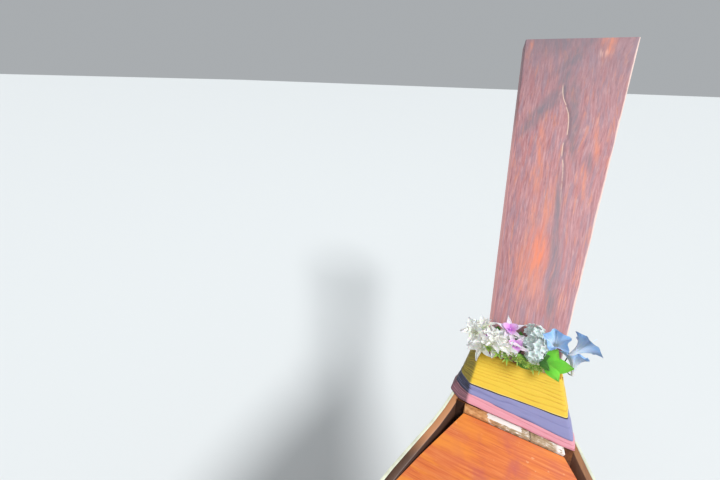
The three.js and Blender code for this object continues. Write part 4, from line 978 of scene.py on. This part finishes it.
def sash_ring(z):
    """The outline that a sash follows at one height, port side first, as a closed rounded ring."""
    port, port_tip, starboard, starboard_tip = (looked_up(z, SASH_OUTLINE, k) for k in (1, 2, 3, 4))
    level = STEM_THICK / math.cos(RAKE)
    cloth = SASH_THICK / math.cos(RAKE)
    x = FACE.x + (z - FACE.z) * math.tan(RAKE)
    nose = (x + level + cloth, CUTWATER + SASH_THICK)
    ring = [Vector(p) for p in (
        (x - cloth, port), (x + STEM_RABBET, port_tip), (x + level / 2, port_tip - 0.008), nose,
        (nose[0], -nose[1]), (x + level / 2, 0.008 - starboard_tip), (x + STEM_RABBET, -starboard_tip),
        (x - cloth, -starboard))]
    rounded = []
    for k, corner in enumerate(ring):
        before, after = ring[k - 1] - corner, ring[(k + 1) % len(ring)] - corner
        start, end = corner + before.normalized() * SASH_CORNER, corner + after.normalized() * SASH_CORNER
        for t in (0, 0.25, 0.5, 0.75, 1):
            rounded.append(start * (1 - t) ** 2 + corner * 2 * t * (1 - t) + end * t * t)
    middle = sum(rounded, Vector((0, 0))) / len(rounded)
    return [p + (middle - p).normalized() * SASH_ROOM for p in rounded]


def resampled(ring, count):
    """The same closed ring with evenly spaced points, each with the way out of it, and the ring's
    length."""
    closed = ring + ring[:1]
    steps = [0.0]
    for a, b in zip(closed, closed[1:]):
        steps.append(steps[-1] + (b - a).length)
    places = np.linspace(0, steps[-1], count, endpoint=False)
    xs = np.interp(places, steps, [p.x for p in closed])
    ys = np.interp(places, steps, [p.y for p in closed])
    points = [Vector((x, y)) for x, y in zip(xs, ys)]
    area = sum(points[k - 1].x * points[k].y - points[k].x * points[k - 1].y for k in range(count))
    sign = 1 if area > 0 else -1
    outward = []
    for k in range(count):
        tangent = (points[(k + 1) % count] - points[k - 1]).normalized()
        outward.append(Vector((tangent.y, -tangent.x)) * sign)
    return points, outward, steps[-1]


def valley_at(turn, share, pleats, seed):
    """How deep a place on a sash lies between two pleats, from 0 to 1. The pleats wander, grow and fade."""
    x, y = math.cos(turn) * 1.5, math.sin(turn) * 1.5
    wander = noise.noise((x, y, seed + share * 3.1)) * 0.5
    phase = share ** 1.4 * pleats + wander * min(1, 3 * share, 3 * (1 - share))
    fold = 1 - abs(2 * (phase % 1) - 1)
    strength = 0.3 + 0.7 * (0.5 + noise.noise((x * 1.4, y * 1.4, seed + math.floor(phase) * 3.7)))
    return strength * max(0.0, 1 - fold / 0.55) ** 1.6


def wrap_sash(node, finish_name, low, high, dips, pleats, depth, proud, seed):
    """A sash of satin gathered into pleats and wound round the stem head and the board's foot. Its edges
    are given at its starboard and port ends, and both dip towards the port gunwale tip."""
    columns, rows = 260, pleats * 10
    levels = [(0, SASH_TUCK), *((j / rows, 0.0) for j in range(rows + 1)), (1, SASH_TUCK)]
    points, crest, port_shading, risers = [], [], [], []
    up = 0.0
    for share, inset in levels:
        middle = sum(low) / 2 + (sum(high) / 2 - sum(low) / 2) * share
        ring, outward, around = resampled(sash_ring(middle), columns)
        for k, (p, out) in enumerate(zip(ring, outward)):
            across = looked_up(p.y, [(-SASH_SLANT, 0), (SASH_SLANT, 1)])
            hung = risen(p.y, *SASH_HANGS)
            bottom = low[0] + (low[1] - low[0]) * across - dips[0] * hung
            top = high[0] + (high[1] - high[0]) * across - dips[1] * hung
            z = bottom + (top - bottom) * share
            turn = 2 * math.pi * k / columns
            valley = valley_at(turn, share, pleats, seed)
            swell = noise.noise((math.cos(turn) * 3, math.sin(turn) * 3, seed - share * 5)) * 0.0012
            reach = proud - depth * valley + swell - inset
            leant = (z - middle) * math.tan(RAKE)
            points.append(Vector((p.x + leant + out.x * reach, p.y + out.y * reach, z)))
            # The pleats' crests and the faces that look to port are stored for the material, which lays
            # painted shade in the valleys and on those port faces
            crest.append(1 - valley if inset == 0 else 0.0)
            port_shading.append(looked_up(out.y, [(0.25, 0), (0.55, 1)]))
        if risers:
            up += (points[-columns] - points[-2 * columns]).length
        risers.append(up)
    mesh = mesh_of(node, points, quads(len(levels), columns))
    for name, values in (("crest", crest), ("port_shading", port_shading)):
        mesh.attributes.new(name, "FLOAT", "POINT").data.foreach_set("value", values)
    uv = mesh.uv_layers.new(name="cloth")
    for polygon in mesh.polygons:
        seam = polygon.index % columns == columns - 1
        for corner, loop in zip(polygon.vertices, polygon.loop_indices):
            k, j = corner % columns, corner // columns
            along = around if seam and k == 0 else around * k / columns
            uv.data[loop].uv = (along, risers[j] - risers[1])
    first = mesh.polygons[0]
    if first.normal.dot(Vector((first.center.x - 4.4, first.center.y, 0))) < 0:
        mesh.flip_normals()
    made = piece(f"{node}_pleated", mesh, finish_name, stands_for=(node,), smooth=180)
    area = sum(p.area for p in mesh.polygons)
    area / around


# Garland. A flower's part is its points, its faces, the place of each point on the petal's map, and a
# matrix

def petal(long, wide, lean, curl, cup, pointed=0.5, columns=5, rows=9, ruffle=0.0, seed=0):
    """Points, faces and map of one petal that starts at the origin, rises along +Z and leans out along
    +X."""
    points, uvs = [], []
    x = z = 0.0
    for j in range(rows):
        t = j / (rows - 1)
        angle = lean + curl * t
        if j:
            x += math.sin(angle) * long / (rows - 1)
            z += math.cos(angle) * long / (rows - 1)
        swell = math.sin(math.pi * (0.08 + 0.92 * t ** (1 - 0.3 * pointed)))
        half = wide / 2 * max(0.06, swell) ** (0.6 + pointed / 2)
        for k in range(columns):
            s = 2 * k / (columns - 1) - 1
            lift = cup * half * s * s + ruffle * t * math.sin(7 * s + 6 * t + seed * 2.1)
            points.append(Vector((x - math.cos(angle) * lift, s * half, z + math.sin(angle) * lift)))
            uvs.append((0.5 + 0.5 * s, t))
    return points, quads(rows, columns, ring=False), uvs


def stalk(long, radius, sides=4):
    """Points, faces and map of a thin closed stalk up +Z."""
    points, faces = skin([circle(radius, 0, sides), circle(radius * 0.7, long, sides)])
    return points, faces, [(0.5, 0.1 if p.z < long / 2 else 0.4) for p in points]


def whorl(count, maker, start=0.0, rise=0.0):
    """Petals set in a ring round +Z."""
    foot = Matrix.Translation((0, 0, rise))
    turns = [start + 2 * math.pi * k / count for k in range(count)]
    return [(*maker(k), foot @ Matrix.Rotation(turn, 4, "Z")) for k, turn in enumerate(turns)]


def joined(name, parts):
    """One mesh with a petal map, from a flower's parts."""
    placed = [([place @ p for p in points], faces) for points, faces, _, place in parts]
    mesh = mesh_of(name, *together(*placed))
    uvs = [uv for part in parts for uv in part[2]]
    layer = mesh.uv_layers.new(name="petal")
    for loop in mesh.loops:
        layer.data[loop.index].uv = uvs[loop.vertex_index]
    return mesh


def lily_mesh():
    """A double lily: long petals that rise and roll back at their tips, a tighter inner ring, and
    stamens."""

    def middle(k):
        return petal(0.054 - 0.004 * (k % 3), 0.020, 0.30, 0.85, 0.5, 0.35, 5, 12, 0.0010, k)

    def outer(k):
        return petal(0.058 - 0.005 * (k % 2), 0.020, 0.60, 1.0, 0.45, 0.4, 5, 12, 0.0010, k + 3)

    inner = whorl(4, lambda k: petal(0.040, 0.017, 0.10, 0.6, 0.6, 0.3, 5, 9, 0.0006, k))
    stamens = [(*stalk(0.036, 0.0006), Matrix.Rotation(0.3, 4, Vector((math.cos(a), math.sin(a), 0))))
               for a in (0, 1.3, 2.5, 3.8, 5.0)]
    return joined("lily", inner + whorl(5, middle, 0.5) + whorl(5, outer, 0.1) + stamens)


def orchid_mesh():
    """Five long pointed sepals."""
    return joined("orchid", whorl(5, lambda k: petal(0.044, 0.015, 0.85, 0.5, 0.35, 0.9, 5, 9, 0.0010, k)))


def lip_mesh():
    """The broad petals, rolled lip and column in the middle of an orchid."""
    broad = whorl(3, lambda k: petal(0.028, 0.022, 0.62, 0.5, 0.3, 0.1, 5, 8, 0.0014, k), 0.6, 0.002)
    lips = whorl(3, lambda k: petal(0.020 - 0.003 * k, 0.014, 0.3, 1.3, 0.7, 0.1, 5, 8, 0.0018, k))
    return joined("lip", [*broad, *lips, (*stalk(0.014, 0.0026, 8), Matrix())])


def trumpet_mesh():
    """A funnel of five joined petals that flares at its rim, with a thin stamen."""
    columns, rows = 40, 20
    points, uvs = [], []
    for j in range(rows):
        t = j / (rows - 1)
        flare = max(0, (t - 0.35) / 0.65) ** 1.8
        for k in range(columns):
            turn = 2 * math.pi * k / columns
            lobe = 0.5 + 0.5 * math.cos(5 * turn)
            crease = 0.0006 * math.sin(10 * turn) * t
            radius = 0.0026 + 0.0078 * t + 0.0165 * flare * (0.72 + 0.66 * lobe ** 1.6) + crease
            z = 0.054 * t - 0.007 * max(0, (t - 0.7) / 0.3) ** 1.5 * lobe
            points.append(Vector((radius * math.cos(turn), radius * math.sin(turn), z)))
            uvs.append((k / columns * 5 % 1, t))
    funnel = (points, quads(rows, columns), uvs, Matrix())
    return joined("trumpet", [funnel, (*stalk(0.070, 0.0007), Matrix())])


def posy_mesh():
    """A long cluster of small white blossoms on short stalks."""
    rolls = random.Random(11)
    parts = []
    for _ in range(36):
        turn, lean = rolls.uniform(0, 2 * math.pi), rolls.uniform(0, 1.25)
        along = Matrix.Rotation(turn, 4, "Z") @ Matrix.Rotation(lean, 4, "Y")
        reach = rolls.uniform(0.012, 0.030)
        parts.append((*stalk(reach, 0.0006), along))
        size = rolls.uniform(0.9, 1.4)
        blossom = whorl(5, lambda k: petal(0.0125 * size, 0.010 * size, 0.85, 0.4, 0.2, 0.1, 3, 5))
        parts += [(*shape, along @ Matrix.Translation((0, 0, reach)) @ place) for *shape, place in blossom]
    return joined("posy", parts)


def leaf_mesh():
    """A broad leaf of three lobes, folded a little along its rib."""
    middle = petal(0.050, 0.036, 0.12, 0.35, 0.30, 0.7, 7, 11, 0.0012)
    side = petal(0.042, 0.030, 0.12, 0.35, 0.25, 0.7, 7, 10, 0.0012, 3)
    sides = [(*side, Matrix.Rotation(turn, 4, "X")) for turn in (1.1, -1.1)]
    return joined("leaf", [(*middle, Matrix()), *sides])


def blade_mesh():
    """A single narrow leaf."""
    return joined("blade", [(*petal(0.045, 0.015, 0.1, 0.7, 0.3, 0.8, 5, 10, 0.0008), Matrix())])


def frond_mesh():
    """A feathery sprig: many narrow leaves up both sides of one rib."""
    rolls = random.Random(5)
    parts = [(*stalk(0.046, 0.0009), Matrix())]
    for k in range(34):
        place = Matrix.Translation((0, 0, 0.002 + 0.0014 * k)) @ Matrix.Rotation(k * 2.4, 4, "Z")
        parts.append((*petal(rolls.uniform(0.013, 0.023), 0.0052, 0.6, 0.4, 0.2, 0.6, 3, 5), place))
    return joined("frond", parts)


def places_on_prow(rows):
    """Places of flowers in the scene. One with no lean of its own gets a seeded one."""
    rolls = random.Random(len(rows))
    made = []
    for up, across, off, way, size, *lean in rows:
        given = lean[0] if lean else [rolls.uniform(-1, 1) for _ in range(3)]
        in_scene = [UP_BOARD * a + Vector((0, b, 0)) + OFF_BOARD * c for a, b, c in (way, given)]
        made.append((on_prow(up, across, off), *in_scene, size))
    return made


def smooth_path(corners, count):
    """A smooth curve through the corners, as evenly spaced points."""
    ends = [corners[0] * 2 - corners[1], *corners, corners[-1] * 2 - corners[-2]]
    made = []
    for k in range(count):
        place = k / (count - 1) * (len(corners) - 1)
        i = min(int(place), len(corners) - 2)
        t = place - i
        a, b, c, d = ends[i:i + 4]
        made.append(0.5 * (2 * b + (c - a) * t + (2 * a - 5 * b + 4 * c - d) * t ** 2
                           + (3 * b - a - 3 * c + d) * t ** 3))
    return made


def swept(name, path, radius, sides):
    """A closed round bar along a path."""
    rings = []
    side = (path[1] - path[0]).cross(Vector((0.3, 0.2, 1))).normalized()
    for k, p in enumerate(path):
        ahead = (path[min(k + 1, len(path) - 1)] - path[max(k - 1, 0)]).normalized()
        side = (side - ahead * side.dot(ahead)).normalized()
        up = ahead.cross(side)
        rings.append([p + side * at.x + up * at.y for at in circle(radius, 0, sides)])
    return mesh_of(name, *skin(rings))


def dress_garland():
    """Cloth flowers and leaves tied in a row over the sashes, each by its own stalk to a wire bound with
    green tape."""
    kinds = [
        ("lilies", lily_mesh(), LILIES, "cloth_flowers"),
        ("orchids", orchid_mesh(), ORCHIDS, "orchid"),
        ("lips", lip_mesh(), ORCHIDS, "orchid_lip"),
        ("posies", posy_mesh(), POSIES, "posy"),
        ("trumpets", trumpet_mesh(), TRUMPETS, "trumpet"),
        ("leaves", leaf_mesh(), LEAVES, "leaf"),
        ("dark_leaves", leaf_mesh(), DARK_LEAVES, "dark_leaf"),
        ("blades", blade_mesh(), BLADES, "blade"),
        ("fronds", frond_mesh(), FRONDS, "frond"),
    ]
    course = smooth_path([on_prow(*at) for at in GARLAND_WIRE], 60)
    wire = swept("garland_wire", course, 0.0035, 10)
    with reworked(wire) as grid:
        for name, mesh, rows, finish_name in kinds:
            places = places_on_prow(rows)
            repeats(f"garland_{name}", mesh, places, finish_name, stands_for=("garland",), smooth=80)
            for base, way, _, _ in places:
                tied = min(course, key=lambda p: (p - base).length)
                bend = (base + tied) / 2 - way.normalized() * 0.006
                grid.from_mesh(swept("stalk", smooth_path([tied, bend, base], 8), 0.0014, 6))
    piece("garland_wire", wire, "dark_leaf", stands_for=("garland",), smooth=80)


# Canopy

def arch_half(x):
    """Half the width of the roof between the outer sides of its rails."""
    return looked_up(x, POSTS) + RAIL / 2


def roof_z(share):
    """Height of the bows' tops at a share of the half width."""
    return RAIL_TOP + ROOF_RISE * (1 - share ** 2)


def stretch_canopy():
    """Canvas pulled over the bows, which sags a little between them and hangs free past the rails."""
    columns, rows = 150, 72
    points = []
    for i in range(columns + 1):
        x = CANVAS_FORE + (CANVAS_AFT - CANVAS_FORE) * i / columns
        half = arch_half(x)
        hang = (half + EAVE) / half
        nearest = min(abs(x - bow) for bow in BOWS)
        beyond = x < BOWS[0] or x > BOWS[-1]
        sag = 0.0 if beyond else math.sin(min(nearest / (BOW_PITCH / 2), 1) * math.pi / 2) ** 2
        ripples = math.sin(x * 31) * 0.3
        for j in range(rows + 1):
            share = -hang + 2 * hang * j / rows
            across = abs(share)
            free = max(0.0, across - 1) / (hang - 1)
            slack = 4 * min(across, 0.5) ** 2 * min(1, max(0, 0.97 - across) * 5)
            ripple = math.sin(x * 19 + share * 2) * 0.5 + ripples
            z = roof_z(share) - 0.014 * sag * slack - free * (0.010 + 0.005 * ripple) + 0.0024
            points.append((x, share * half + math.copysign(free * 0.006 * ripple, share), z))
    mesh = mesh_of("canopy", points, quads(columns + 1, rows + 1, ring=False))
    if mesh.polygons[rows // 2].normal.z < 0:
        mesh.flip_normals()
    holder = put("holder", mesh)
    wall = holder.modifiers.new("cloth", "SOLIDIFY")
    wall.thickness = 0.0016
    wall.offset = 1
    made = piece("canopy_canvas", baked(holder), "canopy_cloth", stands_for=("canopy_cover",), smooth=60)


def eyelet_mesh():
    """A flat washer with a rounded rim, its axis along +Z."""
    outer, inner, tall, sides = 0.011, 0.006, 0.0035, 14
    profile = [(inner, 0), (outer, 0), (outer, tall * 0.6), ((outer + inner) / 2, tall), (inner, tall * 0.6)]
    points = [point for radius, z in profile for point in circle(radius, z, sides)]
    return mesh_of("eyelet", points, quads(len(profile), sides, loop=True))


def fit_eyelets():
    """Brass eyelets along the free edges of the canvas, 300 mm apart."""
    places = []
    for x in np.arange(CANVAS_AFT + 0.06, CANVAS_FORE, 0.3):
        half = arch_half(x)
        share = (half + EAVE - 0.022) / half
        for side in (1, -1):
            normal = Vector((0, side * 2 * ROOF_RISE * share / half, 1)).normalized()
            places.append((Vector((x, side * share * half, roof_z(share) - 0.0028)), normal, (1, 0, 0), 1.0))
    repeats("canopy_eyelets", eyelet_mesh(), places, "brass_eyelet")


# Nails and bolts

def nail_mesh():
    """A driven nail's low domed head, its foot at the origin."""
    radius, tall, sides = 0.0065, 0.0016, 8
    points, faces = skin([circle(radius * share, z, sides)
                          for share, z in ((1, -0.001), (1, tall * 0.4), (0.6, tall * 0.9))])
    apex = len(points)
    rim = range(apex - sides, apex)
    fan = [(rim[k - 1], rim[k], apex) for k in range(sides)]
    return mesh_of("nail", [*points, Vector((0, 0, tall))], faces[:-1] + fan)


def bolt_mesh():
    """A hexagon head with a chamfered top on a washer, its foot at the origin."""
    washer, corner, tall = 0.0126, 0.00744, 0.010
    foot = skin([circle(washer, z, 12) for z in (0, tall * 0.18)])
    head = skin([circle(corner * share, tall * rise, 6)
                 for share, rise in ((1, 0.18), (1, 0.86), (0.84, 1))])
    return mesh_of("bolt", *together(foot, head))


def drive_plank_nails():
    """Two iron nails through each plank's edges at every frame."""
    places = []
    for side, sign in (("port", 1), ("starboard", -1)):
        for strake in ("garboard", "bilge_strake", "side_strake", "sheer_strake"):
            plank = solids_tree([name for name in nodes_of(strake) if name.endswith(side)])
            for x in NAILED:
                middle = Vector((x, 0, SECTION_MIDDLE + max(0, x - 2.4) * 0.32))
                hits = []
                for step in range(-90, 75):
                    away = Vector((0, sign * math.cos(math.radians(step)), math.sin(math.radians(step))))
                    point, normal, _, _ = plank.ray_cast(middle + away * 3, -away)
                    if point and normal.dot(away) > 0:
                        hits.append((point, normal))
                if len(hits) < 6:
                    continue
                for end in (hits, hits[::-1]):
                    far = 0.050 if strake == "sheer_strake" and end is not hits else 0.020
                    spot = next((hit for hit in end if (hit[0] - end[0][0]).length > far), None)
                    if spot:
                        point = spot[0].copy()
                        point.y *= 1 + flare_at(point, BOW_FLARE)
                        places.append((point, spot[1], (1, 0, 0), 1.0))
    repeats("plank_nails", nail_mesh(), places, "iron_nail")


def bolt_engine():
    """Hexagon bolts of the head, the sump, the exhaust log and the mounts. Their rows are in millimetres of
    the engine's own frame: place, way and size."""
    rows = [((x, side * 88, 234), (0, 0, 1), 1.0) for x in np.linspace(225, 625, 6) for side in (1, -1)]
    rows += [((x, side * 92, -118), (0, side, 0), 0.7) for x in np.linspace(240, 615, 5) for side in (1, -1)]
    rows += [((x, 149.4, 191), (0, 1, 0), 0.8) for x in (265, 400, 450, 585)]
    rows += [((x, side * 126, 26), (0, 0, 1), 1.0) for x in (290, 590) for side in (1, -1)]
    lean = ENGINE_TURN @ Vector((1, 0.3, 0.3))
    places = [(PIVOT + ENGINE_TURN @ (Vector(at) / 1000), ENGINE_TURN @ Vector(way), lean, size)
              for at, way, size in rows]
    repeats("engine_bolts", bolt_mesh(), places, "zinc_bolt", "engine")


# Propeller

def blade_ring(r):
    """The outline of a blade's cambered section at a radius."""
    tip = (r - BLADE_FOOT) / (PROPELLER - BLADE_FOOT)
    half = looked_up(r, BLADE) * (1 - 5.5 * max(0, tip - 0.8) ** 2)
    pitch = math.radians(looked_up(r, BLADE, 2))
    ring = []
    for side in (1, -1):
        for k in range(13):
            s = k / 6 - 1
            thick = 0.0045 * (1 - 0.7 * tip) * math.sqrt(max(0, 1 - s * s)) + 0.0004
            across, through = s * half * side, side * thick + 0.004 * (1 - s * s)
            ring.append(Vector((HUB + across * math.sin(pitch) + through * math.cos(pitch),
                                across * math.cos(pitch) - through * math.sin(pitch), r)))
    return ring


def twist_propeller():
    """Two thin blades with real camber and twist on a bronze boss."""
    sides = 28
    blade, faces = skin([blade_ring(BLADE_FOOT + (PROPELLER - BLADE_FOOT) * j / 15) for j in range(16)])
    half_turn = Matrix.Rotation(math.pi, 3, "X")
    boss = [Vector((p.z, p.x, p.y)) for radius, x in BOSS for p in circle(radius, x, sides)]
    points, faces = together((blade, faces), ([half_turn @ p for p in blade], faces),
                             (boss, quads(len(BOSS), sides)))
    mesh = mesh_of("propeller", [PIVOT + ENGINE_TURN @ p for p in points], faces)
    with reworked(mesh) as grid:
        bmesh.ops.remove_doubles(grid, verts=grid.verts, dist=1e-5)
        bmesh.ops.recalc_face_normals(grid, faces=grid.faces)
    piece("propeller_cast", mesh, "bronze", "propeller", ("propeller",))


# Every other solid keeps its form and gets its edges eased. Columns: nodes, edge in metres, finish, body
EASED = [
    (["prow_board"], 0.004, "prow_timber", "root"),
    (["foredeck"], 0.003, "deck_varnish", "root"),
    (["deck_batten"], 0.0015, "worn_batten", "root"),
    (nodes_of("transom", "bulkhead", "garboard", "bilge_strake", "side_strake", "sheer_strake"), 0.0015,
     "hull_timber", "root"),
    (nodes_of("keel", "foredeck_beams", "engine_bed", "frames_"), 0.003, "dark_timber", "root"),
    (["stem"], 0.003, "stem_timber", "root"),
    (["gunwale_strip_port", "gunwale_strip_starboard"], 0.002, "cream_paint", "root"),
    (["floorboards", "helm_deck"], 0.002, "deck_timber", "root"),
    ([f"bench_{k}" for k in range(1, 6)], 0.004, "varnished_timber", "root"),
    (["canopy_bows", "canopy_frame_port", "canopy_frame_starboard"], 0.004, "canopy_timber", "root"),
    (["fuel_tank"], 0.012, "red_plastic", "root"),
    (["swivel_fork"], 0.002, "galvanised_steel", "swivel"),
    (["cradle", "tail_tube", "tiller"], 0.0015, "galvanised_steel", "engine"),
    (["engine_block"], 0.005, "engine_enamel", "engine"),
    (["rocker_cover", "bell_housing"], 0.004, "cast_alloy", "engine"),
    (["exhaust"], 0.003, "rusty_steel", "engine"),
    (["belt_drive"], 0.0015, "dark_steel", "engine"),
    (["air_cleaner"], 0.004, "filter_plastic", "engine"),
    (["tiller_grip"], 0.003, "grip_rubber", "engine"),
]

set_camera()
lay_water_floor()
set_light()
for row in SASHES:
    wrap_sash(*row)
dress_garland()
stretch_canopy()
fit_eyelets()
drive_plank_nails()
bolt_engine()
twist_propeller()
for nodes, edge, finish_name, body in EASED:
    for node in nodes:
        eased(node, edge, finish_name, body)
